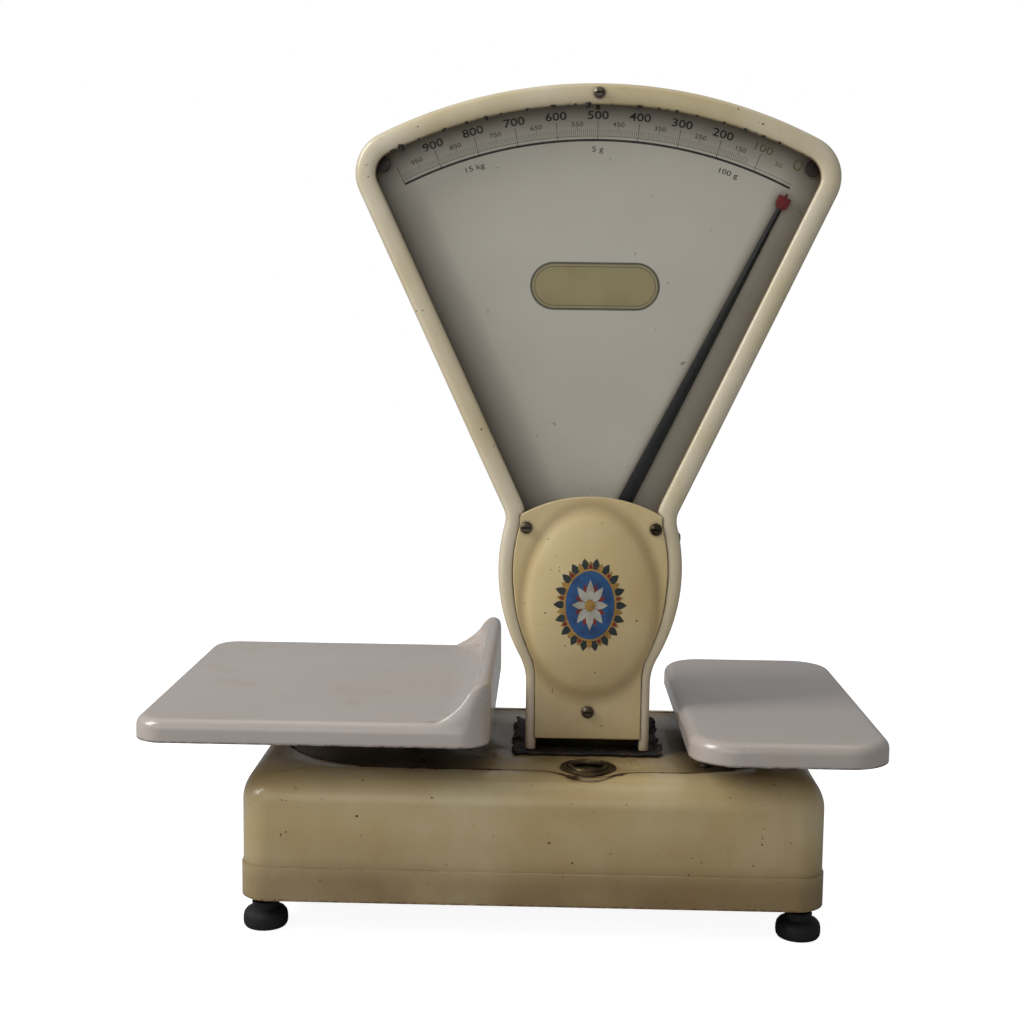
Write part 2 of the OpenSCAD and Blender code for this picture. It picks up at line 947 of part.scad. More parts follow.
// Lead weights bolted to both sides of the weights leg, which balance the heavier goods platter
module balance_weight() {
    color("gray")
        set_down()
            for (s = [-1, 1])
                scale_y(s)
                    translate([weights_x, leg_d / 2, balance_z]) {
                        translate([-leg_w / 2, 0, -balance_neck_h / 2])
                            cube([leg_w, balance_y + 1, balance_neck_h]);
                        translate([-balance_w / 2, balance_y, -balance_h / 2])
                            cube([balance_w, balance_l, balance_h]);
                    }
}

// A cast cross with a hub on its leg and a boss under each corner of the platter
module spider(x, z, mx, my, px, py) {
    color("dimgray")
        set_down() {
            translate([x, 0, z])
                cylinder(h = spider_t, r = spider_hub_r);
            for (sx = [-1, 1], sy = [-1, 1])
                hull() {
                    translate([x, 0, z])
                        cylinder(h = spider_t, r = 9);
                    translate([mx + sx * px, my + sy * py, z])
                        cylinder(h = spider_t, r = pad_r);
                }
        }
}

module pads(mx, my, z, px, py) {
    color("black")
        set_down()
            for (sx = [-1, 1], sy = [-1, 1])
                translate([mx + sx * px, my + sy * py, z + spider_t])
                    cylinder(h = pad_h, r = pad_r - 1);
}

module goods_spider() {
    spider(goods_x, goods_spider_z, goods_mid_x, goods_mid_y, goods_pad_x, goods_pad_y);
}
module goods_pads() {
    pads(goods_mid_x, goods_mid_y, goods_spider_z, goods_pad_x, goods_pad_y);
}
module weights_spider() {
    spider(weights_x, weights_spider_z, weights_mid_x, weights_mid_y, weights_pad_x, weights_pad_y);
}
module weights_pads() {
    pads(weights_mid_x, weights_mid_y, weights_spider_z, weights_pad_x, weights_pad_y);
}

// Platters

// A tray turned upside down, with rounded top edges
module tray(w, d, r, lip) {
    difference() {
        hull()
            for (a = [0, 45, 90])
                let (in = lip * (1 - cos(a)), h = edge_h - lip * (1 - sin(a)))
                    translate([0, 0, h / 2 - edge_h])
                        round_block(w - 2 * in, d - 2 * in, h, r - in);
        translate([0, 0, -edge_h / 2 - platter_t])
            round_block(w - 2 * platter_t, d - 2 * platter_t, edge_h, r - platter_t);
    }
}

module weights_platter() {
    color("white")
        set_down()
            translate([weights_mid_x, weights_mid_y, weights_z])
                tray(weights_w, platter_d, weights_corner_r, tray_lip);
}

// The upstand of the goods platter, drawn in by e and carried down to z0
module upstand(e, z0) {
    root_x = goods_w / 2 - upstand_t - upstand_fillet;
    end_y = platter_d / 2 - upstand_end - e;
    turn_y = platter_d / 2 - upstand_end - upstand_round;
    intersection() {
        upright(-platter_d / 2, platter_d / 2)
            polygon(concat(
                arc(root_x, upstand_fillet, upstand_fillet + e, -90, -10, 8),
                arc(goods_w / 2 - upstand_t / 2, upstand_h - upstand_t / 2, upstand_t / 2 - e, 180, 0, 8),
                [[goods_w / 2 - e, z0], [root_x, z0]]));
        translate([root_x - 1, 0, 0])
            rotate([0, 90, 0])
                linear_extrude(goods_w / 2)
                    polygon(concat([[-z0, -end_y]],
                        arc(upstand_round - upstand_h, -turn_y, upstand_round - e, 270, 180, 6),
                        arc(upstand_round - upstand_h, turn_y, upstand_round - e, 180, 90, 6),
                        [[-z0, end_y]]));
    }
}

module goods_platter() {
    color("white")
        set_down()
            translate([goods_mid_x, goods_mid_y, goods_z])
                difference() {
                    union() {
                        tray(goods_w, platter_d, goods_corner_r, tray_lip);
                        upstand(0, -tray_lip);
                    }
                    upstand(platter_t, -edge_h - 1);
                }
}

// Damper

module damper_cylinder() {
    color("silver")
        at_column()
            translate([damper_arm, 0, base_z + floor_t])
                difference() {
                    cylinder(h = damper_h, r = damper_r);
                    translate([0, 0, damper_wall])
                        cylinder(h = damper_h, r = damper_r - damper_wall);
                }
}

module damper_cap() {
    color("gray")
        at_column()
            translate([damper_arm, 0, base_z + floor_t + damper_h])
                difference() {
                    cylinder(h = damper_cap_t, r = damper_r);
                    translate([0, 0, -1])
                        cylinder(h = damper_cap_t + 2, r = piston_rod_r + 0.5);
                }
}

module damper_piston() {
    color("silver")
        at_column()
            translate([damper_arm, 0, 0])
                difference() {
                    union() {
                        translate([0, 0, base_z + floor_t + damper_wall + 5])
                            cylinder(h = 6, r = piston_r);
                        translate([0, 0, base_z + floor_t + damper_wall + 8])
                            cylinder(h = beam_z - base_z - floor_t - damper_wall - 8 - 4,
                                r = piston_rod_r);
                        cross_rod(0, beam_z, -2, 2, 6);
                    }
                    cross_rod(0, beam_z, -3, 3, 2.5 + 0.6);
                }
}

base_frame();
base_shell();
deck_plate();
deck_screws();
level_ring();
level_glass();
foot_pad_front_left();
foot_pad_front_right();
foot_pad_rear_left();
foot_pad_rear_right();
foot_stud_front_left();
foot_stud_front_right();
foot_stud_rear_left();
foot_stud_rear_right();
column_gasket();
head_case();
front_rim();
rear_rim();
front_glass();
rear_glass();
front_dial();
rear_dial();
dial_buttons();
front_cover();
rear_cover();
cover_screws();
rim_screws();
side_screw();
bearing_brackets();
shaft_bearings();
pointer_shaft();
front_pointer();
rear_pointer();
pendulum_arm();
pendulum_weight();
pull_rod();
beam();
beam_pin();
rod_pin();
check_link();
link_pin();
goods_leg();
goods_knife_pin();
goods_link_pin();
goods_spider();
goods_pads();
goods_platter();
weights_leg();
weights_knife_pin();
weights_link_pin();
balance_weight();
weights_spider();
weights_pads();
weights_platter();
damper_cylinder();
damper_cap();
damper_piston();
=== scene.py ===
from math import atan2, cos, degrees, pi, radians, sin, sqrt

import bmesh
import bpy
from mathutils import Matrix, Vector, noise as fractal


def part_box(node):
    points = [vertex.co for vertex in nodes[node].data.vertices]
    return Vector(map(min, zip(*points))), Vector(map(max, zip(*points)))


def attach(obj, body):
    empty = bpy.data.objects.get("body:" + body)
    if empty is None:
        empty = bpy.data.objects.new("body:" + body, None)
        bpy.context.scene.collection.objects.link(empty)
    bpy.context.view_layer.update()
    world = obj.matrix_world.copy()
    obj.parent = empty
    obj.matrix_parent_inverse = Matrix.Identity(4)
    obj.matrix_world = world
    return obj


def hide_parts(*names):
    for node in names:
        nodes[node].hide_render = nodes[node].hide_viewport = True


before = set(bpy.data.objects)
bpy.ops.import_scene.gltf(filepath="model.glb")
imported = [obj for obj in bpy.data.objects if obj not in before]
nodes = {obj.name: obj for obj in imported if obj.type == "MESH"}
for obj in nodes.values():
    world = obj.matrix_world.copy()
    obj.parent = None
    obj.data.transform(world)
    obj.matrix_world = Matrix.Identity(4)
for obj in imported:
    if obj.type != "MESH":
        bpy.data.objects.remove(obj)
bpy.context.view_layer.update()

scene = bpy.context.scene
scene.view_settings.view_transform = "Standard"

# The camera stands in front of the scale, a little above its middle, as the photographer's did.
# Its lens is about 53 mm, and it leans down by some 6.5 degrees.
camera_place = Vector((0.0238, -1.2173, 0.4478))
camera_yaw = -0.0224
camera_down = 0.1144
camera_roll = 0.0132
sensor_w = 36
picture_w = 1024
focal_length_px = 1504.6
camera_data = bpy.data.cameras.new("camera")
camera_data.sensor_width = sensor_w
camera_data.lens = sensor_w * focal_length_px / picture_w
camera = bpy.data.objects.new("camera", camera_data)
scene.collection.objects.link(camera)
camera.matrix_world = (Matrix.Translation(camera_place) @ Matrix.Rotation(-camera_yaw, 4, "Z")
                       @ Matrix.Rotation(pi / 2 - camera_down, 4, "X") @ Matrix.Rotation(camera_roll, 4, "Z"))
scene.camera = camera


# The studio is a pale floor with soft daylight from above and the left, and a weaker fill in front.
# The background colour comes from what the camera ray alone sees, and the floor keeps the shadow.
def lamp(name, place, target, size, power, colour):
    data = bpy.data.lights.new(name, "AREA")
    data.shape = "RECTANGLE"
    data.size = size[0]
    data.size_y = size[1]
    data.energy = power
    data.color = colour
    item = bpy.data.objects.new(name, data)
    scene.collection.objects.link(item)
    item.location = place
    item.rotation_euler = (Vector(target) - Vector(place)).to_track_quat("-Z", "Y").to_euler()


lamp("window_left", (-2.1, -0.6, 1.9), (0, 0, 0.3), (1.1, 1.5), 48, (1.0, 1.0, 1.0))
lamp("sky_above", (0.2, 0.5, 2.5), (0, 0, 0.3), (2.4, 2.0), 10, (1.0, 0.99, 0.97))
lamp("fill_front", (-0.7, -2.8, 1.3), (0, 0, 0.3), (2.4, 1.8), 11, (1.0, 1.0, 1.0))


def feed(tree, socket, value):
    """Gives a socket a value, or links it to another socket."""
    if isinstance(value, bpy.types.NodeSocket):
        tree.links.new(value, socket)
    else:
        socket.default_value = value


def feed_named(tree, node, **sockets):
    """Feeds a node's sockets, which are given by name, with _ for a space."""
    for name, value in sockets.items():
        feed(tree, node.inputs[name.replace("_", " ")], value)


def add(tree, kind, settings=None, **sockets):
    """A new shader node, with its settings and with its sockets fed by name."""
    made = tree.nodes.new(kind)
    for name, value in (settings or {}).items():
        setattr(made, name, value)
    feed_named(tree, made, **sockets)
    return made


def calc(tree, operation, a, b=0.0):
    made = add(tree, "ShaderNodeMath", {"operation": operation})
    feed(tree, made.inputs[0], a)
    feed(tree, made.inputs[1], b)
    return made.outputs[0]


def seen_directly(tree):
    """Is 1 for what the camera sees, straight or through glass, and 0 for the light that it gives."""
    path = add(tree, "ShaderNodeLightPath").outputs
    return calc(tree, "MAXIMUM", path["Is Camera Ray"], path["Is Transmission Ray"])


world = bpy.data.worlds.new("studio")
world.use_nodes = True
scene.world = world
tree = world.node_tree
ambient = tree.nodes["Background"]
feed_named(tree, ambient, Color=(0.93, 0.96, 1.0, 1), Strength=0.25)
white = add(tree, "ShaderNodeBackground", Color=(1, 1, 1, 1))
both = add(tree, "ShaderNodeMixShader", Fac=seen_directly(tree))
tree.links.new(ambient.outputs[0], both.inputs[1])
tree.links.new(white.outputs[0], both.inputs[2])
tree.links.new(both.outputs[0], tree.nodes["World Output"].inputs["Surface"])

bpy.ops.object.select_all(action="DESELECT")
bpy.ops.mesh.primitive_plane_add(size=8, location=(0, 0, -0.0005))
floor = bpy.context.object
floor.name = "floor"
floor_paint = bpy.data.materials.new("floor_paint")
floor_paint.use_nodes = True
tree = floor_paint.node_tree
feed_named(tree, tree.nodes["Principled BSDF"], Base_Color=(0.45, 0.45, 0.45, 1), Roughness=0.9,
           Emission_Color=(0.92, 0.92, 0.92, 1), Emission_Strength=seen_directly(tree))
floor.data.materials.append(floor_paint)


# The base shell is pressed steel, 2 mm thick, with round upright corners, a soft shoulder and a skirt
# band that stands a millimetre proud. It is sprayed cream, yellowed, and rusts along its lower edge.
mm = 0.001
shell_low, shell_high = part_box("base_shell")
base_x = (shell_low.x + shell_high.x) / 2
base_y = (shell_low.y + shell_high.y) / 2
base_z = shell_low.z
deck_z = shell_high.z
skirt_proud = 1 * mm
base_w = shell_high.x - shell_low.x - 2 * skirt_proud
base_d = shell_high.y - shell_low.y - 2 * skirt_proud
skirt_h = 25 * mm
shoulder_h = 22 * mm
shoulder_front = 28 * mm
shoulder_side = 16 * mm
base_corner_r = 22 * mm
shell_wall = 2 * mm
seam_gap = 0.7 * mm


def nothing_selected():
    """Operators act on all that is selected, so each new primitive starts from nothing."""
    bpy.ops.object.select_all(action="DESELECT")


def settle():
    """Writes the place, turn and size of the new primitive into its mesh."""
    bpy.ops.object.transform_apply(location=True, rotation=True, scale=True)
    return bpy.context.object


def pick(kind, test):
    """Selects the faces, edges or vertices of the open mesh that pass a test."""
    mesh = bmesh.from_edit_mesh(bpy.context.edit_object.data)
    bpy.ops.mesh.select_mode(type=kind)
    bpy.ops.mesh.select_all(action="DESELECT")
    for item in {"FACE": mesh.faces, "EDGE": mesh.edges, "VERT": mesh.verts}[kind]:
        item.select_set(bool(test(item)))
    mesh.select_flush_mode()
    bmesh.update_edit_mesh(bpy.context.edit_object.data)


def start_block(name, centre, size):
    """A block of that size, open for editing."""
    nothing_selected()
    bpy.ops.mesh.primitive_cube_add(size=1, location=centre, scale=size)
    settle().name = name
    bpy.ops.object.mode_set(mode="EDIT")
    return bpy.context.object


def close_mesh(smooth_angle=35):
    """Ends editing, and shades faces smooth where they meet at less than the angle."""
    bpy.ops.object.mode_set(mode="OBJECT")
    bpy.ops.object.shade_smooth_by_angle(angle=radians(smooth_angle))
    return bpy.context.object


def modify(piece, kind, **settings):
    """Adds a modifier to a piece and applies it."""
    nothing_selected()
    bpy.context.view_layer.objects.active = piece
    piece.select_set(True)
    modifier = piece.modifiers.new(kind.lower(), kind)
    for setting, value in settings.items():
        setattr(modifier, setting, value)
    bpy.ops.object.modifier_apply(modifier=modifier.name)


def carve(piece, tool, operation="DIFFERENCE"):
    """Cuts a piece with a tool shape, joins it or keeps what they share. The tool is then thrown away."""
    modify(piece, "BOOLEAN", object=tool, operation=operation, solver="EXACT")
    bpy.data.objects.remove(tool)


def base_form(name):
    """The outer form of the base as one closed block, from the skirt up to the deck."""
    block = start_block(name, (base_x, base_y, base_z + skirt_h / 2),
                        (base_w + 2 * skirt_proud, base_d + 2 * skirt_proud, skirt_h))
    pick("EDGE", lambda e: abs(e.verts[0].co.z - e.verts[1].co.z) > skirt_h / 2)
    bpy.ops.mesh.bevel(offset=base_corner_r + skirt_proud, segments=12, affect="EDGES")
    pick("FACE", lambda f: f.normal.z > 0.9)

    def rise(height, width, depth):
        """Raises the top face, and draws it in to a new width and depth."""
        now = bmesh.from_edit_mesh(block.data)
        top = [v.co for v in now.verts if v.select]
        across = max(p.x for p in top) - min(p.x for p in top)
        along = max(p.y for p in top) - min(p.y for p in top)
        bpy.ops.mesh.extrude_region_move(TRANSFORM_OT_translate={"value": (0, 0, height)})
        bpy.ops.transform.resize(value=(width / across, depth / along, 1),
                                 center_override=(base_x, base_y, 0))

    skirt_step = 0.8 * mm
    rise(skirt_step, base_w, base_d)
    rise(deck_z - shoulder_h - base_z - skirt_h - skirt_step, base_w, base_d)
    shoulder_steps = 10
    for step in range(1, shoulder_steps + 1):
        before, now = (radians(90 * s / shoulder_steps) for s in (step - 1, step))
        rise(shoulder_h * (sin(now) - sin(before)), base_w - 2 * shoulder_side * (1 - cos(now)),
             base_d - 2 * shoulder_front * (1 - cos(now)))
    return close_mesh()


def srgb(r, g, b):
    """A colour given as 0 to 255, as a screen shows it."""
    shares = [v / 255 for v in (r, g, b)]
    return tuple(((v + 0.055) / 1.055) ** 2.4 if v > 0.04 else v / 12.92 for v in shares) + (1,)


def noise(tree, where, scale, detail=4, roughness=0.55):
    made = add(tree, "ShaderNodeTexNoise", Vector=where, Scale=scale, Detail=detail, Roughness=roughness)
    return made.outputs["Fac"]


def ramp(tree, value, low, high, to_low=0, to_high=1):
    """Spreads the values between low and high over to_low to to_high."""
    made = add(tree, "ShaderNodeMapRange", Value=value, From_Min=low, From_Max=high,
               To_Min=to_low, To_Max=to_high)
    return made.outputs["Result"]


def mixed(tree, share, first, second):
    """Mixes two colours by a share that varies over the surface."""
    made = add(tree, "ShaderNodeMix", {"data_type": "RGBA"})
    for place, value in ((0, share), (6, first), (7, second)):
        feed(tree, made.inputs[place], value)
    return made.outputs[2]


def new_finish(name, metallic=0.0, coat=0.0):
    """An empty material. Returns it with its node tree, its shader and the object coordinates."""
    material = bpy.data.materials.new(name)
    material.use_nodes = True
    tree = material.node_tree
    shader = tree.nodes["Principled BSDF"]
    feed_named(tree, shader, Metallic=metallic, Coat_Weight=coat)
    where = tree.nodes.new("ShaderNodeTexCoord").outputs["Object"]
    return material, tree, shader, where


def bumped(tree, shader, height, distance):
    made = add(tree, "ShaderNodeBump", Height=height, Distance=distance, Strength=1)
    feed_named(tree, shader, Normal=made.outputs["Normal"])


def recess_dirt(tree, reach, low, high):
    """Where a surface is shut in by others within a reach, this paints shade, and dirt that gathers there."""
    made = add(tree, "ShaderNodeAmbientOcclusion", {"samples": 6}, Distance=reach)
    return ramp(tree, made.outputs["AO"], low, high, 1, 0)


def aged_paint(name, colour, yellowed, dirt_and_shade, rust_below=None, darker_along=(), shadow_reach=None, oval=None):
    """Old sprayed enamel paint: it yellows in clouds, dirt and painted shade darken its corners, and small
    chips rust.

    It may be browned along Z, or along Y from the middle of the base. Painted shade darkens the crease round
    an oval, and painted shadow falls where other pieces shut it in. Its lower edge rusts at the height
    rust_below."""
    material, tree, shader, where = new_finish(name, coat=0.35)
    clouds = ramp(tree, noise(tree, where, 9, 5), 0.38, 0.68)
    tone = mixed(tree, clouds, colour, yellowed)
    drawn_down = add(tree, "ShaderNodeMapping", Vector=where, Scale=(1, 1, 0.15)).outputs[0]
    streaks = ramp(tree, noise(tree, drawn_down, 60, 3), 0.45, 0.75, 0, 0.35)
    tone = mixed(tree, streaks, tone, yellowed)
    # Each band makes the paint darker and browner along an axis, between two places.
    for axis, start, end in darker_along:
        place = add(tree, "ShaderNodeSeparateXYZ", Vector=where).outputs[axis]
        if axis == "Y":
            place = calc(tree, "ABSOLUTE", calc(tree, "SUBTRACT", place, base_y))
        uneven = ramp(tree, noise(tree, where, 12, 3), 0.3, 0.7, 0.25, 0.6)
        tone = mixed(tree, calc(tree, "MULTIPLY", ramp(tree, place, start, end), uneven), tone, dirt_and_shade)
    # Painted shade darkens the crease round the oval dome.
    if oval:
        x, z, w, h = oval
        flat = add(tree, "ShaderNodeMapping", Vector=where, Location=(-x / w, 0, -z / h),
                   Scale=(1 / w, 0, 1 / h))
        distance = add(tree, "ShaderNodeVectorMath", {"operation": "LENGTH"}, Vector=flat.outputs[0])
        share = distance.outputs["Value"]
        crease_shade = calc(tree, "MULTIPLY", ramp(tree, share, 0.9, 1.0, 0, 0.38), ramp(tree, share, 1.12, 1.02))
        tone = mixed(tree, crease_shade, tone, dirt_and_shade)
    # Painted shadow, nearly black, darkens the paint where other pieces shut it in within the reach.
    if shadow_reach:
        tone = mixed(tree, recess_dirt(tree, shadow_reach, 0.2, 0.85), tone, srgb(34, 26, 17))
    # Painted shade, with some dirt, darkens corners and gaps within 14 mm.
    tone = mixed(tree, calc(tree, "MULTIPLY", recess_dirt(tree, 14 * mm, 0.35, 0.92), 0.75), tone, dirt_and_shade)
    patchy = ramp(tree, noise(tree, where, 45, 4), 0.3, 0.6)
    seams = calc(tree, "MULTIPLY", recess_dirt(tree, 3 * mm, 0.5, 0.9), patchy)
    tone = mixed(tree, seams, tone, srgb(74, 46, 24))
    specks = ramp(tree, noise(tree, where, 210, 2), 0.735, 0.755)
    rust = ramp(tree, noise(tree, where, 75, 6), 0.40, 0.62)
    rust_colour = mixed(tree, rust, srgb(60, 36, 18), srgb(112, 66, 30))
    if rust_below is not None:
        height = add(tree, "ShaderNodeSeparateXYZ", Vector=where).outputs["Z"]
        near_edge = ramp(tree, height, rust_below + 2.2 * mm, rust_below)
        torn = ramp(tree, noise(tree, where, 190, 5), 0.44, 0.56)
        specks = calc(tree, "MAXIMUM", specks, calc(tree, "MULTIPLY", near_edge, torn))
    tone = mixed(tree, specks, tone, rust_colour)
    feed_named(tree, shader, Base_Color=tone, Coat_Roughness=0.12,
               Roughness=ramp(tree, noise(tree, where, 30, 4), 0.3, 0.7, 0.26, 0.42))
    bumped(tree, shader, noise(tree, where, 420, 2), 0.08 * mm)
    return material


base_paint = aged_paint("base_paint", srgb(206, 188, 146), srgb(190, 164, 112), srgb(116, 86, 44), base_z,
                        darker_along=[("Z", base_z + 60 * mm, base_z), ("Z", base_z + 34 * mm, base_z + 16 * mm)])
# The deck paint is darker and browner than the base's, and carries painted shadow, near black, where the
# platters and column shut it in within 80 mm.
deck_paint_shadowed = aged_paint("deck_paint_shadowed", srgb(186, 164, 120), srgb(160, 130, 82), srgb(92, 64, 34),
                        shadow_reach=80 * mm)


def finish_piece(piece, material, body, slot_name, *replaced):
    """Gives a new piece its finish and its body, and hides the CAD nodes that it stands for. slot_name is not
    used.
    """
    piece.data.materials.clear()
    piece.data.materials.append(material)
    piece.data.name = piece.name
    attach(piece, body)
    if replaced:
        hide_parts(*replaced)
    return piece


def start_outline(name, point):
    """One vertex, open for editing, from which an outline is drawn."""
    nothing_selected()
    bpy.ops.mesh.primitive_plane_add(size=mm, location=point)
    settle().name = name
    bpy.ops.object.mode_set(mode="EDIT")
    bpy.ops.mesh.select_mode(type="VERT")
    bpy.ops.mesh.select_all(action="SELECT")
    bpy.ops.mesh.merge(type="CENTER")


def draw_line(step):
    bpy.ops.mesh.extrude_region_move(TRANSFORM_OT_translate={"value": step})


def draw_arc(centre, angle, axis, steps):
    """Draws on round a centre by an angle in degrees, anticlockwise as seen from the tip of the axis."""
    bpy.ops.mesh.spin(steps=steps, dupli=False, angle=-radians(angle), center=centre, axis=axis)


def merge_close(distance=0.01 * mm):
    """Selects the whole open mesh, and makes one vertex of those that lie as good as together."""
    bpy.ops.mesh.select_all(action="SELECT")
    bpy.ops.mesh.remove_doubles(threshold=distance)


def close_outline():
    merge_close()
    bpy.ops.mesh.edge_face_add()


# The deck plate closes the base. Its ends are round, and a tongue reaches forward under the level.
# It is the same painted steel, and the seam round it has chipped and rusted.
column_low, column_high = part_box("column_gasket")
column_x = (column_low.x + column_high.x) / 2
deck_d = base_d - 2 * shoulder_front - 2 * shell_wall
deck_w = base_w - 2 * shoulder_side - 2 * shell_wall
deck_t = 2.5 * mm
level_y = base_y - 84 * mm
tongue_r = 26.5 * mm
tongue_fillet = 42 * mm


def deck_outline(name, grow, z):
    """Draws the outline of the deck plate, larger all round by grow, as a face at height z."""
    up = (0, 0, 1)
    r = deck_d / 2 + grow
    end_x = deck_w / 2 - deck_d / 2
    fillet_y = base_y - deck_d / 2 - tongue_fillet
    rise = level_y - fillet_y
    reach = sqrt((tongue_r + tongue_fillet) ** 2 - rise ** 2)
    turn = degrees(atan2(rise, reach))
    start_outline(name, (base_x + end_x, base_y - r, z))
    draw_arc((base_x + end_x, base_y, z), 180, up, 40)
    draw_line((-2 * end_x, 0, 0))
    draw_arc((base_x - end_x, base_y, z), 180, up, 40)
    draw_line((column_x - reach - base_x + end_x, 0, 0))
    draw_arc((column_x - reach, fillet_y, z), turn - 90, up, 10)
    draw_arc((column_x, level_y, z), 180 - 2 * turn, up, 24)
    draw_arc((column_x + reach, fillet_y, z), turn - 90, up, 10)
    close_outline()


def face_outward():
    """Turns all faces of the open mesh outwards."""
    bpy.ops.mesh.select_all(action="SELECT")
    bpy.ops.mesh.normals_make_consistent(inside=False)


def deepen(x, y, z):
    """Makes the drawn face a block, by a step to its other side."""
    bpy.ops.mesh.select_all(action="SELECT")
    bpy.ops.mesh.extrude_region_move(TRANSFORM_OT_translate={"value": (x, y, z)})
    face_outward()


def drum(place, r, height, sides=72):
    """An upright cylinder."""
    nothing_selected()
    bpy.ops.mesh.primitive_cylinder_add(vertices=sides, radius=r, depth=height, location=place)
    return settle()


base_shell = base_form("base_shell_pressed")
bpy.ops.object.mode_set(mode="EDIT")
pick("FACE", lambda f: f.normal.z < -0.9)
bpy.ops.mesh.delete(type="FACE")
close_mesh()
modify(base_shell, "SOLIDIFY", thickness=shell_wall, offset=-1)
deck_outline("deck_cutter", seam_gap, deck_z + 3 * mm)
deepen(0, 0, -shoulder_h)
carve(base_shell, close_mesh())
modify(base_shell, "BEVEL", width=0.5 * mm, segments=2, limit_method="ANGLE", angle_limit=radians(60))
close_mesh(30)
finish_piece(base_shell, base_paint, "frame", "base_paint", "base_shell")

deck_plate = base_form("deck_plate_pressed")
blank_over = 1 * mm
deck_outline("deck_blank", 0, deck_z + blank_over)
deepen(0, 0, -deck_t - blank_over)
deck_blank = close_mesh()
tongue_h = 13 * mm
carve(deck_blank, drum((column_x, level_y, deck_z - 4.5 * mm), tongue_r, tongue_h), "UNION")
carve(deck_plate, deck_blank, "INTERSECT")
cutter_h = 20 * mm
leg_hole_r = 11 * mm
for leg in ("goods_leg", "weights_leg"):
    leg_low, leg_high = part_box(leg)
    carve(deck_plate, drum(((leg_low.x + leg_high.x) / 2, base_y, deck_z), leg_hole_r, cutter_h, 48))
column_hole_w = 89 * mm
column_hole_d = 62 * mm
start_block("column_cutter", (column_x, base_y, deck_z), (column_hole_w, column_hole_d, cutter_h))
carve(deck_plate, close_mesh())
level_hole_r = 18.6 * mm
carve(deck_plate, drum((column_x, level_y, deck_z), level_hole_r, cutter_h / 2))
modify(deck_plate, "BEVEL", width=0.4 * mm, segments=2, limit_method="ANGLE", angle_limit=radians(60))
close_mesh(30)
finish_piece(deck_plate, deck_paint_shadowed, "frame", "base_paint", "deck_plate")


# The level is a turned bronze ring with grooves, let into the tongue, round a dark glass with a bubble.
# It has tarnished nearly as dark as the dirt in its grooves.
def metal(name, colour, dark, roughness=0.42, wear_scale=40):
    """Old bare metal: dull clouds, fine scratches, and darker in its corners."""
    material, tree, shader, where = new_finish(name, metallic=1.0)
    clouds = ramp(tree, noise(tree, where, wear_scale, 6), 0.35, 0.65)
    tone = mixed(tree, clouds, colour, dark)
    tone = mixed(tree, recess_dirt(tree, 4 * mm, 0.4, 0.95), tone, srgb(20, 16, 12))
    worn = ramp(tree, noise(tree, where, 160, 3), 0.3, 0.7, roughness - 0.1, roughness + 0.18)
    feed_named(tree, shader, Base_Color=tone, Roughness=worn)
    bumped(tree, shader, noise(tree, where, 700, 2), 0.04 * mm)
    return material


bronze = metal("tarnished_bronze", srgb(120, 104, 74), srgb(58, 48, 36))
screw_steel = metal("screw_steel", srgb(120, 112, 98), srgb(66, 56, 44))
bright_steel = metal("bright_steel", srgb(168, 166, 160), srgb(120, 116, 108), 0.34)


def turned(name, centre, profile, steps=64):
    """A piece turned on a lathe. The profile is a list of radii and heights above the centre."""
    start_outline(name, (centre[0] + profile[0][0], centre[1], centre[2] + profile[0][1]))
    for before, now in zip(profile, profile[1:]):
        draw_line((now[0] - before[0], 0, now[1] - before[1]))
    bpy.ops.mesh.select_all(action="SELECT")
    bpy.ops.mesh.spin(steps=steps, dupli=False, angle=2 * pi, center=centre, axis=(0, 0, 1))
    merge_close()
    face_outward()
    return close_mesh(40)


level_centre = (column_x, level_y, deck_z)
ring_profile = [(18.5, -2.3), (21.4, -2.3), (21.4, 0.5), (20.9, 0.9), (19.7, 1.0), (19.4, 0.5), (18.7, 0.5),
                (18.3, 1.2), (17.0, 1.5), (16.6, 0.9), (15.9, 0.9), (15.4, 2.0), (14.3, 2.9), (13.2, 2.9),
                (12.6, 2.1), (12.4, -0.6), (18.5, -0.6), (18.5, -2.3)]
level_ring = turned("level_ring_turned", level_centre, [(r * mm, z * mm) for r, z in ring_profile])
finish_piece(level_ring, bronze, "frame", "brass", "level_ring")

glass_profile = [(0, -1.5), (7, -1.6), (11, -1.9), (12.3, -2.4), (17.8, -2.4), (17.8, -8.5), (0, -8.5)]
level_glass = turned("level_vial", level_centre, [(r * mm, z * mm) for r, z in glass_profile])
vial_dark, tree, shader, where = new_finish("vial_dark", coat=0.6)
silt = ramp(tree, noise(tree, where, 120, 4), 0.4, 0.6)
feed_named(tree, shader, Base_Color=mixed(tree, silt, srgb(30, 26, 20), srgb(62, 50, 34)), Roughness=0.3)
finish_piece(level_glass, vial_dark, "frame", "level_fluid", "level_glass")
nothing_selected()
bpy.ops.mesh.primitive_torus_add(location=(column_x + 2 * mm, level_y + 1 * mm, deck_z - 1.45 * mm),
                                 major_radius=4.2 * mm, minor_radius=0.35 * mm,
                                 major_segments=36, minor_segments=8)
bubble_ring = settle()
bubble_ring.name = "level_circle"
finish_piece(bubble_ring, bronze, "frame", "brass")


# The gasket under the column is a sheet of black tarred felt. Its edges have torn into flaps that
# curl up beside the neck, and flakes of it lie in the slot under the cover.
gasket_z = column_low.z
gasket_w = column_high.x - column_low.x
gasket_d = column_high.y - column_low.y


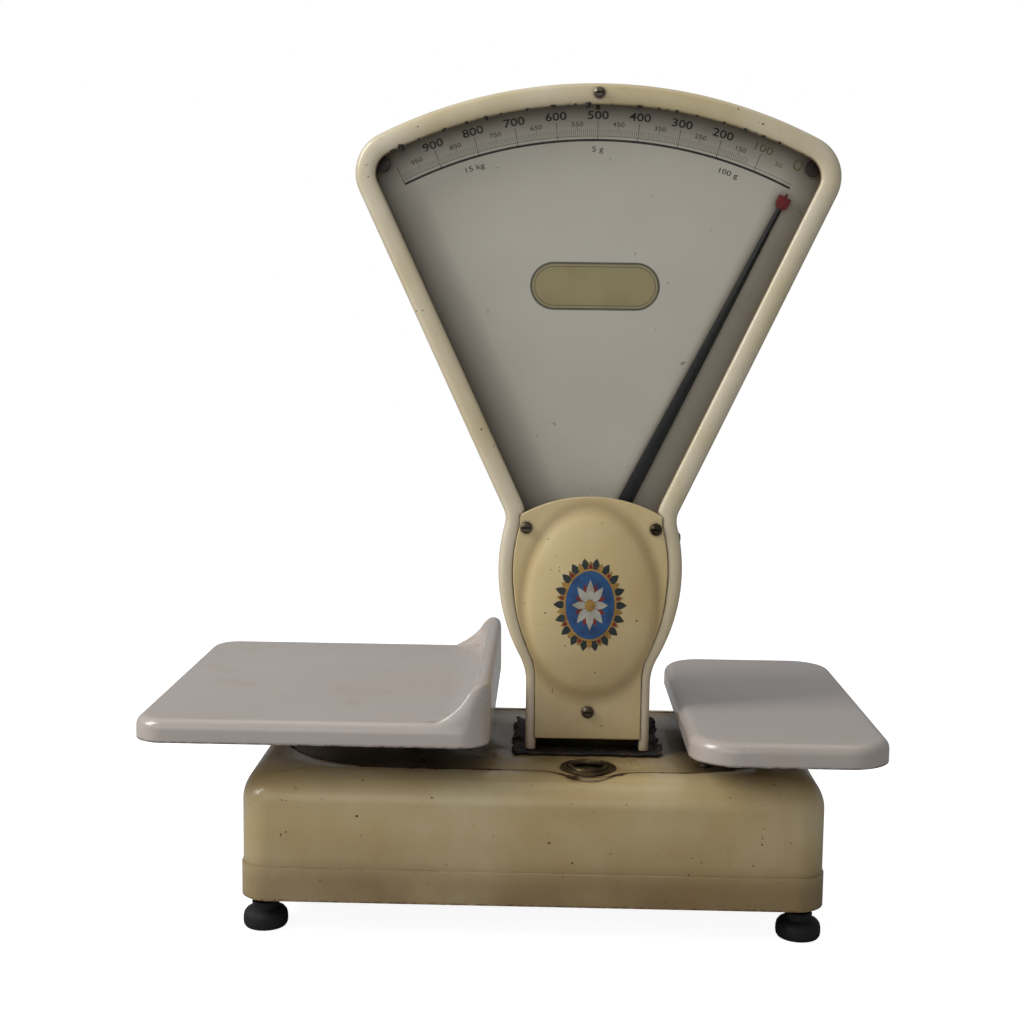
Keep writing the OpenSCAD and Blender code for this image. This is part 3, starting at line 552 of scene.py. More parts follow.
def laid_rows(name, rows, around=True):
    """A grid of faces laid over rows of points. Rows that close on themselves are joined at their ends."""
    count = len(rows[0]) + (1 if around else 0)
    nothing_selected()
    bpy.ops.mesh.primitive_grid_add(x_subdivisions=len(rows) - 1, y_subdivisions=count - 1, size=1)
    piece = bpy.context.object
    piece.name = name
    for vertex in piece.data.vertices:
        row = round((vertex.co.x + 0.5) * (len(rows) - 1))
        place = round((vertex.co.y + 0.5) * (count - 1))
        vertex.co = rows[row][place % len(rows[0])]
    bpy.ops.object.mode_set(mode="EDIT")
    merge_close(0.02 * mm)
    return piece


def ragged(x, y, scale=70):
    """A steady but uneven value between -1 and 1 at a place, for torn edges."""
    return fractal.fractal(Vector((x * scale, y * scale, 3.7)), 0.7, 2.0, 4)


felt_cells = 48
felt_rows = []
for column in range(felt_cells + 1):
    across = (column / felt_cells - 0.5) * 2
    row = []
    for line in range(felt_cells + 1):
        along = (line / felt_cells - 0.5) * 2
        x = column_x + across * gasket_w / 2
        y = base_y + along * gasket_d / 2
        edge = max(abs(across), abs(along)) ** 8
        tear = ragged(x, y)
        x -= edge * abs(tear) * 7 * mm * across
        y -= edge * abs(tear) * 5 * mm * along
        curl = max(0, abs(across) - 0.86) / 0.14 * max(0, ragged(x, y, 40) + 0.25)
        row.append((x, y, gasket_z + 0.8 * mm + curl * 9 * mm + 0.5 * mm * ragged(x, y, 160)))
    felt_rows.append(row)
gasket = laid_rows("gasket_felt", felt_rows, around=False)
slot_w = 41 * mm
slot_d = 33 * mm
pick("FACE", lambda f: abs(f.calc_center_median().x - column_x) < slot_w
     and abs(f.calc_center_median().y - base_y) < slot_d)
bpy.ops.mesh.delete(type="FACE")
close_mesh()
modify(gasket, "SOLIDIFY", thickness=1.4 * mm, offset=1)
tarred_felt, tree, shader, where = new_finish("tarred_felt")
flaked = ramp(tree, noise(tree, where, 110, 6), 0.52, 0.62)
feed_named(tree, shader, Base_Color=mixed(tree, flaked, srgb(24, 22, 20), srgb(58, 40, 28)), Roughness=0.7)
bumped(tree, shader, noise(tree, where, 300, 5), 0.5 * mm)
finish_piece(gasket, tarred_felt, "frame", "rubber", "column_gasket")


# The head and column are one hollow casting, open at the front and back. Its outline is made of
# arcs that touch: neck, bulge round the shaft, waist, sloping sides, corners and crown.
shaft_z = (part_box("pointer_shaft")[0].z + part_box("pointer_shaft")[1].z) / 2
rim_low, rim_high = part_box("front_rim")
head_foot = rim_low.z
head_r = rim_high.z - shaft_z
head_front = rim_low.y
head_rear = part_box("rear_rim")[1].y
rim_d = rim_high.y - rim_low.y
head_angle = radians(25)
apex_z = shaft_z - 99 * mm
bulge_w = 72 * mm
bulge_r = 143 * mm
waist_r = 18 * mm
neck_w = 49 * mm
neck_fillet_r = 45 * mm
head_corner_r = 32 * mm
dome_z = shaft_z - 25 * mm
dome_w = 106 * mm
dome_h = 151 * mm
cover_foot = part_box("front_cover")[0].z
bulge_centre = Vector((bulge_w - bulge_r, shaft_z))
side_normal = Vector((cos(head_angle), -sin(head_angle)))
side_along = Vector((sin(head_angle), cos(head_angle)))


def beside_side(centre, offset, distance):
    """The point at an offset from the sloping side and at a distance from a centre."""
    start = Vector((0, apex_z)) + offset * side_normal
    back = (start - centre) @ side_along
    reach = sqrt(back * back - (start - centre).length_squared + distance ** 2)
    return start + side_along * (reach - back)


corner_centre = beside_side(Vector((0, shaft_z)), -head_corner_r, head_r - head_corner_r)
waist_centre = beside_side(bulge_centre, waist_r, bulge_r + waist_r)
neck_fillet_x = neck_w + neck_fillet_r
neck_fillet_z = shaft_z - sqrt((bulge_r + neck_fillet_r) ** 2 - (neck_fillet_x - bulge_centre.x) ** 2)
neck_centre = Vector((neck_fillet_x, neck_fillet_z))


def bearing(direction):
    return degrees(atan2(direction.y, direction.x))


def arc_points(centre, r, start, end, steps):
    return [centre + r * Vector((cos(radians(a)), sin(radians(a))))
            for a in (start + (end - start) * s / steps for s in range(steps + 1))]


def half_outline(inset):
    """The right half of the head outline, drawn in by an inset, from the foot to the crown."""
    crown_turn = bearing(corner_centre - Vector((0, shaft_z)))
    return ([Vector((neck_w - inset, head_foot))]
            + arc_points(neck_centre, neck_fillet_r + inset, 180, bearing(bulge_centre - neck_centre), 8)
            + arc_points(bulge_centre, bulge_r - inset, bearing(neck_centre - bulge_centre),
                         bearing(waist_centre - bulge_centre), 30)
            + arc_points(waist_centre, waist_r + inset, bearing(bulge_centre - waist_centre) + 360,
                         180 - degrees(head_angle), 8)
            + arc_points(corner_centre, head_corner_r - inset, -degrees(head_angle), crown_turn, 18)
            + arc_points(Vector((0, shaft_z)), head_r - inset, crown_turn, 90, 44)[1:])


def whole_outline(inset):
    """The head outline, drawn in by an inset, from the right foot over the crown to the left foot."""
    right = half_outline(inset)
    return right + [Vector((-p.x, p.y)) for p in reversed(right[:-1])]


def swept_round_head(name, section, narrow=None):
    """Sweeps a closed section round the head.

    The section is given as insets and Y places. narrow gives the share of the insets at a point."""
    insets = sorted({inset for inset, y in section})
    outlines = {inset: whole_outline(inset) for inset in insets}
    widest = max(insets)
    lines = outlines[0 if 0 in outlines else insets[0]]
    rows = []
    for i in range(len(lines)):
        row = []
        for inset, y in section:
            if narrow is None:
                point = outlines[inset][i]
            else:
                outer, inner = outlines[insets[0]][i], outlines[widest][i]
                point = outer.lerp(inner, inset / widest * narrow(inner))
            row.append((column_x + point.x, y, point.y))
        rows.append(row)
    laid_rows(name, rows)
    for foot in (lines[0].x, lines[-1].x):
        pick("VERT", lambda v: abs(v.co.z - head_foot) < 0.01 * mm and (v.co.x - column_x) * foot > 0)
        bpy.ops.mesh.edge_face_add()
    face_outward()
    return close_mesh(40)


lower_darkening = ("Z", dome_z, cover_foot)
# The head paint carries painted shade in the crease round the cover's dome.
head_paint = aged_paint("head_paint", srgb(230, 210, 160), srgb(220, 190, 130), srgb(136, 100, 50),
                        darker_along=[lower_darkening], oval=(column_x, dome_z, dome_w / 2, dome_h / 2))
rim_depth = head_rear - base_y
rim_paint = aged_paint("rim_paint", srgb(236, 225, 198), srgb(218, 199, 154), srgb(128, 92, 46),
                       darker_along=[lower_darkening, ("Y", rim_depth - 1 * mm, rim_depth - 5 * mm)])
case_wall = 2.5 * mm
case_inset = 0.9 * mm
case_front = head_front + rim_d
case_rear = head_rear - rim_d
case_inner = case_inset + case_wall
case_section = [(case_inset, case_front), (case_inset, (case_front + case_rear) / 2),
                (case_inset, case_rear), (case_inner, case_rear), (case_inner, case_front)]
head_case = swept_round_head("head_casting", case_section)
finish_piece(head_case, head_paint, "frame", "cream_paint", "head_case")

# Each rim is a pressed frame with a rounded front, which holds the glass. It is wide round the dial,
# narrower beside the column cover and narrowest at the neck, with a small rolled edge at the window.
rim_w = 15.5 * mm
cover_rim_w = 12.5 * mm
neck_rim_w = 8.2 * mm
window_foot = shaft_z + 45 * mm
rim_profile = [(0, 8), (0, 5.4), (0.5, 3.3), (1.7, 1.6), (3.6, 0.5), (6, 0.05), (9, 0), (12.2, 0.3),
               (14, 0.8), (15.1, 1.6), (15.5, 2.8), (15.5, 8)]


def rim_share(inner):
    """The width of the rim at a point, as a share of its width round the dial."""
    if inner.y > window_foot:
        return 1
    down = min(1, max(0, (shaft_z - 15 * mm - inner.y) / (75 * mm)))
    return (cover_rim_w + (neck_rim_w - cover_rim_w) * down) / rim_w


for name, node, face, inward in (("front_rim_pressed", "front_rim", head_front, 1),
                                 ("rear_rim_pressed", "rear_rim", head_rear, -1)):
    section = [(inset * mm, face + inward * depth * mm) for inset, depth in rim_profile]
    finish_piece(swept_round_head(name, section, rim_share), rim_paint, "frame", "cream_paint", node)


# Putty beds the front window. It has dried hard and dark, and has broken out in crumbs along the top
# of the opening.
def plain_finish(name, colour, spotted, roughness=0.5, scale=60, metallic=0.0, coat=0.0):
    """A finish of one colour with uneven spots of another."""
    material, tree, shader, where = new_finish(name, metallic, coat)
    spots = ramp(tree, noise(tree, where, scale, 5), 0.42, 0.66)
    worn = ramp(tree, noise(tree, where, scale * 3, 3), 0.3, 0.7, roughness - 0.08, roughness + 0.1)
    feed_named(tree, shader, Base_Color=mixed(tree, spots, colour, spotted), Roughness=worn)
    bumped(tree, shader, noise(tree, where, scale * 6, 3), 0.04 * mm)
    return material


def joined(name, pieces):
    """Joins pieces into one."""
    nothing_selected()
    for piece in pieces:
        piece.select_set(True)
    bpy.context.view_layer.objects.active = pieces[0]
    bpy.ops.object.join()
    bpy.context.object.name = name
    return bpy.context.object


putty = plain_finish("putty", srgb(58, 58, 46), srgb(34, 30, 24), 0.8, 200)
crumbs = []
for i in range(26):
    turn = radians(-26 + 2.15 * i + 1.1 * sin(5.1 * i))
    r = head_r - rim_w - (0.4 + 0.5 * sin(3.3 * i)) * mm
    size = (0.9 + 0.5 * sin(2.3 * i)) * (1.7 if i < 3 or i == 12 else 1) * mm
    nothing_selected()
    bpy.ops.mesh.primitive_ico_sphere_add(subdivisions=2, radius=size, location=(
        column_x + r * sin(turn), head_front + 2.6 * mm, shaft_z + r * cos(turn)), rotation=(i, 0.7 * i, 0))
    crumb = bpy.context.object
    crumb.scale = (1.7 + 0.5 * sin(i), 0.8, 1)
    settle()
    for vertex in crumb.data.vertices:
        vertex.co += vertex.normal * size * 0.35 * ragged(vertex.co.x, vertex.co.z, 900)
    crumbs.append(crumb)
finish_piece(joined("window_putty", crumbs), putty, "frame", "rubber")


# Rust has filled the seam round the deck plate and lifted the paint beside it in small flakes.
# It shows as a torn brown line round the whole deck.
seam_rust = plain_finish("seam_rust", srgb(52, 31, 17), srgb(92, 56, 28), 0.85, 160)
rust_r = 0.6 * mm
flake_w = 3.2 * mm
rust_flatness = 0.35
deck_outline("deck_rust", seam_gap / 2, deck_z)
pick("EDGE", lambda e: e.calc_length() > 20 * mm)
bpy.ops.mesh.subdivide(number_cuts=200)
bpy.ops.mesh.select_all(action="SELECT")
bpy.ops.mesh.delete(type="ONLY_FACE")
bpy.ops.object.mode_set(mode="OBJECT")
bpy.ops.object.convert(target="CURVE")
bpy.context.object.data.bevel_depth = rust_r
bpy.context.object.data.bevel_resolution = 1
bpy.ops.object.convert(target="MESH")
deck_rust = bpy.context.object
for vertex in deck_rust.data.vertices:
    flake = max(0, ragged(vertex.co.x, vertex.co.y, 45) - 0.1) * flake_w
    swell = rust_r * 0.7 * ragged(vertex.co.x, vertex.co.y, 160) + flake
    moved = vertex.co + vertex.normal * swell
    vertex.co = (moved.x, moved.y, deck_z + (vertex.co.z - deck_z) * rust_flatness)
finish_piece(deck_rust, seam_rust, "frame", "cream_paint")


# A column cover is pressed with an oval dome. It lies in the front of the head between the rims,
# is held by three screws, and leaves a slot above the gasket.
cover_top_r = 110 * mm
cover_top_z = shaft_z + 59 * mm
cover_lap = 0.9 * mm
dome_rise = 8.6 * mm
dome_roundness = 0.62
dome_spread = 1.03


def cover_edge(inset):
    """The outline of a cover, drawn in by an inset, as points that run once round its middle."""
    foot = cover_foot + inset
    top = Vector((0, cover_top_z - cover_top_r))
    drawn = [outer.lerp(inner, rim_share(Vector((0, min(inner.y, shaft_z)))) + (inset - cover_lap) / rim_w)
             for outer, inner in zip(half_outline(0), half_outline(rim_w))]
    side = [p for p in drawn
            if foot < p.y < shaft_z + 60 * mm and (p - top).length < cover_top_r - inset]
    shoulder = side[-1]
    turn = bearing(shoulder - top)
    right = ([Vector((0, foot)), Vector((side[0].x * 0.5, foot)), Vector((side[0].x, foot))] + side
             + arc_points(top, cover_top_r - inset, turn, 90, 24))
    return right + [Vector((-p.x, p.y)) for p in reversed(right[1:-1])]


def oval(direction, share):
    """The point of the dome's oval in a direction from its middle, at a share of its size."""
    angle = atan2(direction.y / dome_h, direction.x / dome_w)
    return Vector((dome_w / 2 * cos(angle) * share, dome_z + dome_h / 2 * sin(angle) * share))


def cover(name, face, outward):
    outer = cover_edge(0)
    rows = []
    for inset, depth in ((1.3, 3), (1.3, 0.9), (0, 0.9), (0, 0.4), (0.3, 0.15), (0.8, 0.02), (1.5, 0)):
        inset, depth = inset * mm, depth * mm
        rows.append([(column_x + p.x, face - outward * depth, p.y)
                     for p in (q + (Vector((0, dome_z)) - q).normalized() * inset for q in outer)])
    flat = [Vector((x - column_x, z)) for x, y, z in rows[-1]]
    for share in (0.35, 0.7):
        rows.append([(column_x + p.x, face, p.y)
                     for p in (q.lerp(oval(q - Vector((0, dome_z)), dome_spread), share) for q in flat)])
    steps = 22
    for step in range(steps):
        share = dome_spread * (1 - step / steps)
        lift = (1 - min(1, share) ** 2) ** dome_roundness * min(1, (dome_spread - share) / 0.12)
        rows.append([(column_x + p.x, face + outward * dome_rise * lift, p.y)
                     for p in (oval(q - Vector((0, dome_z)), share) for q in flat)])
    rows.append([(column_x, face + outward * dome_rise, dome_z)] * len(outer))
    laid_rows(name, rows)
    pick("EDGE", lambda e: len(e.link_faces) == 1)
    bpy.ops.mesh.edge_face_add()
    face_outward()
    return close_mesh(40)


cover_proud = 0.4 * mm
front_cover = cover("front_cover_pressed", head_front - cover_proud, -1)
finish_piece(front_cover, head_paint, "frame", "cream_paint", "front_cover")
rear_cover = cover("rear_cover_pressed", head_rear + cover_proud, 1)
finish_piece(rear_cover, head_paint, "frame", "cream_paint", "rear_cover")


# A dial is an enamelled steel plate behind the window. Its scale runs from 0 at the right to 1000 g
# at the left, as seen from the front, and it is printed in thin black. Painted shade darkens its margins.
def give(material, *names):
    """Puts a finish on CAD nodes that keep their shape."""
    for name in names:
        nodes[name].data.materials.clear()
        nodes[name].data.materials.append(material)


dial_face, tree, shader, where = new_finish("dial_face", coat=0.1)
dusty = ramp(tree, noise(tree, where, 14, 5), 0.35, 0.7, 0, 0.4)
tone = mixed(tree, dusty, srgb(212, 206, 190), srgb(196, 188, 168))
# Painted shade darkens the dial where the rim and case shut it in within 10 mm.
tone = mixed(tree, recess_dirt(tree, 10 * mm, 0.4, 0.98), tone, srgb(120, 108, 84))
apart = add(tree, "ShaderNodeSeparateXYZ", Vector=where)
# Painted shadow of the rim falls on the dial near its crown and along its sloping sides.
across = calc(tree, "ABSOLUTE", calc(tree, "SUBTRACT", apart.outputs["X"], column_x))
up = calc(tree, "SUBTRACT", apart.outputs["Z"], apex_z)
above = calc(tree, "ADD", up, apex_z - shaft_z)
squares = calc(tree, "ADD", calc(tree, "POWER", across, 2), calc(tree, "POWER", above, 2))
from_shaft = calc(tree, "SQRT", squares)
outward_part = calc(tree, "MULTIPLY", across, cos(head_angle))
beside = calc(tree, "SUBTRACT", outward_part, calc(tree, "MULTIPLY", up, sin(head_angle)))
for place, low, high, most in ((from_shaft, 333 * mm, 360 * mm, 0.7), (beside, -46 * mm, -14 * mm, 0.72)):
    tone = mixed(tree, ramp(tree, place, low, high, 0, most), tone, srgb(86, 70, 46))
tone = mixed(tree, ramp(tree, noise(tree, where, 150, 2), 0.74, 0.76, 0, 0.6), tone, srgb(104, 92, 80))
feed_named(tree, shader, Base_Color=tone, Roughness=0.45)
bumped(tree, shader, noise(tree, where, 260, 3), 0.03 * mm)
give(dial_face, "front_dial", "rear_dial")

print_black = plain_finish("print_black", srgb(34, 34, 30), srgb(58, 56, 48), 0.5, 160)
print_faded = plain_finish("print_faded", srgb(118, 100, 64), srgb(140, 124, 90), 0.5, 160)
plate_ochre = plain_finish("plate_ochre", srgb(168, 156, 112), srgb(158, 144, 100), 0.45, 40)
plate_green = plain_finish("plate_green", srgb(92, 92, 78), srgb(104, 102, 86), 0.45, 90)
print_t = 0.06 * mm
scale_low = radians(26.5)
scale_r = 336 * mm
line_r = 333 * mm


def turn_of(value):
    """The angle from upright, to the right, of a weight in grams on the scale."""
    return scale_low * (1 - value / 500)


def printed_text(words, size, r, angle, face, outward, bold=0.0):
    """Raised print of some characters, upright at a place on the dial, as a mesh."""
    nothing_selected()
    bpy.ops.object.text_add(location=(0, 0, 0))
    text = bpy.context.object
    text.data.body = words
    text.data.size = size
    text.data.align_x = "CENTER"
    text.data.align_y = "CENTER"
    text.scale.x = 1.3
    text.data.extrude = print_t / 2
    text.data.offset = bold
    text.data.resolution_u = 3
    bpy.ops.object.convert(target="MESH")
    text = bpy.context.object
    text.rotation_euler = (pi / 2, 0, 0 if outward < 0 else pi)
    bpy.ops.object.transform_apply(location=False, rotation=True, scale=True)
    text.rotation_euler = (0, angle, 0)
    text.location = (column_x + r * sin(angle), face + outward * print_t / 2, shaft_z + r * cos(angle))
    return settle()


def tick_row(name, steps, low, high, width, face, outward, first=-scale_low, last=scale_low):
    """A row of radial strokes from angle first to angle last."""
    r = (low + high) / 2
    start_block(name, (column_x, face + outward * print_t / 2, shaft_z + r), (width, print_t, high - low))
    bpy.ops.mesh.select_all(action="SELECT")
    centre = (column_x, face, shaft_z)
    bpy.ops.transform.rotate(value=-first, orient_axis="Y", center_override=centre)
    bpy.ops.mesh.spin(steps=steps, dupli=True, angle=first - last, center=centre, axis=(0, 1, 0))
    return close_mesh()


def printed_arc(name, r, width, face, outward):
    """A printed line of one width round the shaft, as long as the scale."""
    inner, outer = r - width / 2, r + width / 2
    rows = []
    steps = 120
    for step in range(steps + 1):
        angle = scale_low * (2 * step / steps - 1)
        rows.append([(column_x + place * sin(angle), face + lift * outward, shaft_z + place * cos(angle))
                     for place, lift in ((inner, 0), (inner, print_t), (outer, print_t), (outer, 0))])
    laid_rows(name, rows)
    bpy.ops.mesh.fill_holes(sides=0)
    face_outward()
    return close_mesh()


def pill(name, width, height, z, face, outward, lift):
    """A flat plate with round ends, seen from its own side of the dial."""
    r = height / 2
    reach = width / 2 - r
    start_outline(name, (column_x - reach, face, z - r))
    draw_line((2 * reach, 0, 0))
    draw_arc((column_x + reach, face, z), -180, (0, 1, 0), 20)
    draw_line((-2 * reach, 0, 0))
    draw_arc((column_x - reach, face, z), -180, (0, 1, 0), 20)
    close_outline()
    deepen(0, outward * lift, 0)
    return close_mesh()


plate_z = 489.5 * mm
big_size = 8.6 * mm
big_r = 351.5 * mm
small_size = 4.8 * mm
small_r = 345 * mm
note_size = 5.8 * mm
note_r = 325 * mm
plate_layers = [("edge", 101, 37, 0.08, plate_green), ("band", 97.6, 33.6, 0.12, plate_ochre),
                ("line", 94.6, 30.6, 0.16, plate_green), ("field", 93.4, 29.4, 0.2, plate_ochre)]
for side, dial in ((-1, "front"), (1, "rear")):
    dial_low, dial_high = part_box(dial + "_dial")
    face = dial_low.y if side < 0 else dial_high.y
    figures = [printed_text(str(value), big_size, big_r, turn_of(value), face, side, 0.12 * mm)
               for value in range(200, 1000, 100)]
    figures += [printed_text(str(value), small_size, small_r, turn_of(value), face, side)
                for value in range(150, 1000, 100)]
    figures += [printed_text("15 kg", note_size, note_r, radians(-17), face, side),
                printed_text("5 g", note_size, note_r + 1 * mm, 0, face, side),
                printed_text("100 g", note_size, note_r, radians(18), face, side),
                printed_text("g", note_size, 359 * mm, 0, face, side, 0.15 * mm)]
    figures.append(tick_row(dial + "_hundreds", 9, line_r, 347 * mm, 0.4 * mm, face, side,
                            last=turn_of(100)))
    figures.append(printed_arc(dial + "_thick_line", line_r, 1.7 * mm, face, side))
    finish_piece(joined(dial + "_dial_figures", figures), print_black, "frame", "dial_print")
    fine = [tick_row(dial + "_ticks", 175, scale_r + 0.3 * mm, scale_r + 5 * mm, 0.22 * mm, face, side,
                     last=turn_of(125)),
            tick_row(dial + "_fifties", 18, scale_r + 5 * mm, scale_r + 7 * mm, 0.3 * mm, face, side,
                     last=turn_of(100)),
            printed_arc(dial + "_thin_line", scale_r, 0.3 * mm, face, side)]
    finish_piece(joined(dial + "_dial_ticks", fine), plate_green, "frame", "dial_print")
    faded = [printed_text("0", 13 * mm, 351 * mm, turn_of(8), face, side),
             printed_text("100", big_size, big_r, turn_of(100), face, side),
             printed_text("50", small_size, small_r, turn_of(50), face, side)]
    finish_piece(joined(dial + "_dial_faded", faded), print_faded, "frame", "dial_print")
    for part, width, height, lift, material in plate_layers:
        finish_piece(pill(dial + "_plate_" + part, width * mm, height * mm, plate_z, face, side, lift * mm),
                     material, "frame", "dial_print")


# The windows are plain sheet glass, let into the rims from behind and bedded in putty.
# They carry a little dust and smear.
window_glass, tree, shader, where = new_finish("window_glass")
smear = ramp(tree, noise(tree, where, 11, 6), 0.45, 0.75, 0.003, 0.012)
feed_named(tree, shader, Alpha=smear, Base_Color=srgb(170, 168, 158),
           Roughness=ramp(tree, noise(tree, where, 40, 3), 0.3, 0.7, 0.04, 0.12))
give(window_glass, "front_glass", "rear_glass")

# The dials are held at their upper corners by dark lacquered buttons. The rims, covers, case and deck
# are held by slotted steel screws, which have gone dull and brown.
button_brown = plain_finish("button_brown", srgb(38, 26, 20), srgb(54, 38, 28), 0.4, 90)
give(button_brown, "dial_buttons")
give(screw_steel, "cover_screws", "rim_screws", "side_screw", "deck_screws")


# A pointer is a long black needle with a raised middle, soldered to its hub, with a red arrow tip.
# It stands at 0, the right end of the scale, when nothing is weighed.
pointer_black = plain_finish("pointer_black", srgb(8, 8, 8), srgb(18, 17, 15), 0.36, 120)
pointer_red = plain_finish("pointer_red", srgb(122, 12, 12), srgb(96, 10, 10), 0.5, 200)
needle_shape = [(-8, 7.5), (-4, 9), (0, 9.4), (4, 9), (8, 7.5), (12, 6), (20, 5.8), (60, 5.6), (120, 4.8),
                (220, 3.4), (292, 2.4), (317, 2)]
tip_shape = [(315, 1.6), (316.5, 4.2), (320, 5), (325, 5.2), (321.5, 3), (322.5, 2), (328, 0.5)]


def needle_piece(name, shape, turn, face, outward, flat, ridge):
    """A long piece along the pointer, from places on it and half widths, with a raised middle."""
    along = Vector((sin(turn), 0, cos(turn)))
    across = Vector((cos(turn), 0, -sin(turn)))
    rows = []
    for place, half in shape:
        middle_at = Vector((column_x, 0, shaft_z)) + along * place * mm
        row = []
        for share, lift in ((-1, 0), (-1, flat), (0, ridge), (1, flat), (1, 0)):
            point = middle_at + across * half * share * mm
            point.y = face + outward * lift
            row.append(tuple(point))
        rows.append(row)
    laid_rows(name, rows)
    bpy.ops.mesh.fill_holes(sides=0)
    face_outward()
    return close_mesh(25)


for side, pointer in ((-1, "front_pointer"), (1, "rear_pointer")):
    pointer_low, pointer_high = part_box(pointer)
    back = pointer_high.y if side < 0 else pointer_low.y
    needle = needle_piece(pointer + "_needle", needle_shape, scale_low, back, side, 0.7 * mm, 1.6 * mm)
    finish_piece(needle, pointer_black, "pointer", "pointer_black", pointer)
    tip = needle_piece(pointer + "_tip", tip_shape, scale_low, back + side * 0.2 * mm, side,
                       0.9 * mm, 1.3 * mm)
    finish_piece(tip, pointer_red, "pointer", "pointer_black")


# The platters are pressed steel under white enamel. The goods platter turns up at its right end with a
# soft fillet, and both have small stains and a brown line where the enamel has gone from the lower edge.
def enamel_finish(name, foot):
    material, tree, shader, where = new_finish(name, coat=0.5)
    clouds = ramp(tree, noise(tree, where, 4, 1), 0.3, 0.7)
    tone = mixed(tree, clouds, srgb(198, 187, 179), srgb(189, 177, 167))
    stains = ramp(tree, noise(tree, where, 15, 2), 0.62, 0.9, 0, 0.4)
    tone = mixed(tree, stains, tone, srgb(176, 150, 96))
    height = add(tree, "ShaderNodeSeparateXYZ", Vector=where).outputs["Z"]
    near_foot = ramp(tree, height, foot + 1.6 * mm, foot)
    broken = ramp(tree, noise(tree, where, 120, 5), 0.4, 0.58)
    tone = mixed(tree, calc(tree, "MULTIPLY", near_foot, broken), tone, srgb(74, 46, 24))
    feed_named(tree, shader, Base_Color=tone, Coat_Roughness=0.16,
               Roughness=ramp(tree, noise(tree, where, 9, 1), 0.3, 0.7, 0.2, 0.3))
    return material


def round_corners(low, high, r, inset, steps=20, side_steps=24):
    """Points round a rectangle with round corners, drawn in by an inset."""
    left, right, near, far = low.x + r, high.x - r, low.y + r, high.y - r
    past = max(inset - r, 0)
    left, right, near, far = left + past, right - past, near + past, far - past
    centres = [Vector((right, far)), Vector((left, far)), Vector((left, near)), Vector((right, near))]
    points = []
    for i, centre in enumerate(centres):
        points += arc_points(centre, max(r - inset, 0), 90 * i, 90 * i + 90, steps)
        end = points[-1] + centres[(i + 1) % 4] - centre
        points += [points[-1].lerp(end, s / side_steps) for s in range(1, side_steps)]
    return points


edge_h = 17 * mm
platter_lip = 8 * mm
platter_t = 2 * mm
upstand_h = 29 * mm
upstand_t = 12 * mm
upstand_fillet = 19 * mm
upstand_round = 15 * mm
upstand_end = 1 * mm
upstand_insets = [0.6, 2, 4, 5, 6, 7, 8, 9, 10, 11, 12, 13, 14, 15.4, 16.8, 18.2, 19.6, 21, 22.6, 24.2, 26,
                  28, 31]
lip_insets = [0, 0.15, 0.6, 1.4, 2.4, 3.6, 5, 6.4, 8]
outer_span = 4 * mm
top_span = 10 * mm
wall_span = 2 * mm
fillet_span = 15 * mm
upstand_span = outer_span + top_span + wall_span + fillet_span


def upstand_section(inset):
    """Where a point of the flat top, at an inset from the end, goes: its new inset and its height.

    The spans are what the outer wall, the round top, the inner wall and the fillet take of the flat top."""
    turn = radians(80)
    top_r = upstand_t / 2
    lean = 0.3 * mm
    if inset < outer_span:
        return 0, -platter_lip + (upstand_h - top_r + platter_lip) * inset / outer_span
    if inset < outer_span + top_span:
        angle = pi * (inset - outer_span) / top_span
        return top_r * (1 - cos(angle)), upstand_h - top_r + top_r * sin(angle)
    if inset < upstand_span - fillet_span:
        share = (inset - outer_span - top_span) / wall_span
        fillet_top = upstand_fillet * (1 - cos(turn))
        return upstand_t + share * lean, upstand_h - top_r + share * (fillet_top - upstand_h + top_r)
    angle = turn * (1 - min(1, (inset - upstand_span + fillet_span) / fillet_span))
    return upstand_t + lean + upstand_fillet * (sin(turn) - sin(angle)), upstand_fillet * (1 - cos(angle))


def platter(name, node, r, insets, top, upstand):
    """A platter as a shell, laid in rows from its foot over its rounded edge to its middle."""
    low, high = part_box(node)
    foot = top - edge_h
    rows = [[(p.x, p.y, foot) for p in round_corners(low, high, r, 0)],
            [(p.x, p.y, foot + 2 * mm) for p in round_corners(low, high, r, 0)]]
    for inset in insets:
        fall = platter_lip - sqrt(platter_lip ** 2 - max(platter_lip - inset * mm, 0) ** 2)
        rows.append([(p.x, p.y, top - fall) for p in round_corners(low, high, r, inset * mm)])
    if upstand:
        for row in rows[2:]:
            for i, (x, y, z) in enumerate(row):
                from_end = min(y - low.y, high.y - y)
                in_corner = max(r - from_end, 0)
                edge = high.x - r + sqrt(max(r ** 2 - in_corner ** 2, 0))
                inset = max(edge - x, 0)
                if inset > upstand_span:
                    continue
                near = min(max(from_end - upstand_end, 0), upstand_round)
                share = sqrt(1 - (1 - near / upstand_round) ** 2)
                new_inset, height = upstand_section(inset)
                row[i] = (x + min(1, 3 * share) * (edge - new_inset - x), y, z + share * (top + height - z))
    piece = laid_rows(name, rows)
    pick("EDGE", lambda e: len(e.link_faces) == 1 and e.verts[0].co.z > foot + 1 * mm)
    bpy.ops.mesh.edge_face_add()
    pick("VERT", lambda v: v.co.z > top + 0.2 * mm)
    bpy.ops.mesh.vertices_smooth(factor=0.5, repeat=8)
    face_outward()
    close_mesh(40)
    modify(piece, "SOLIDIFY", thickness=platter_t, offset=-1)
    body = node.replace("platter", "leg")
    finish_piece(piece, enamel_finish(name + "_enamel", foot), body, "enamel", node)


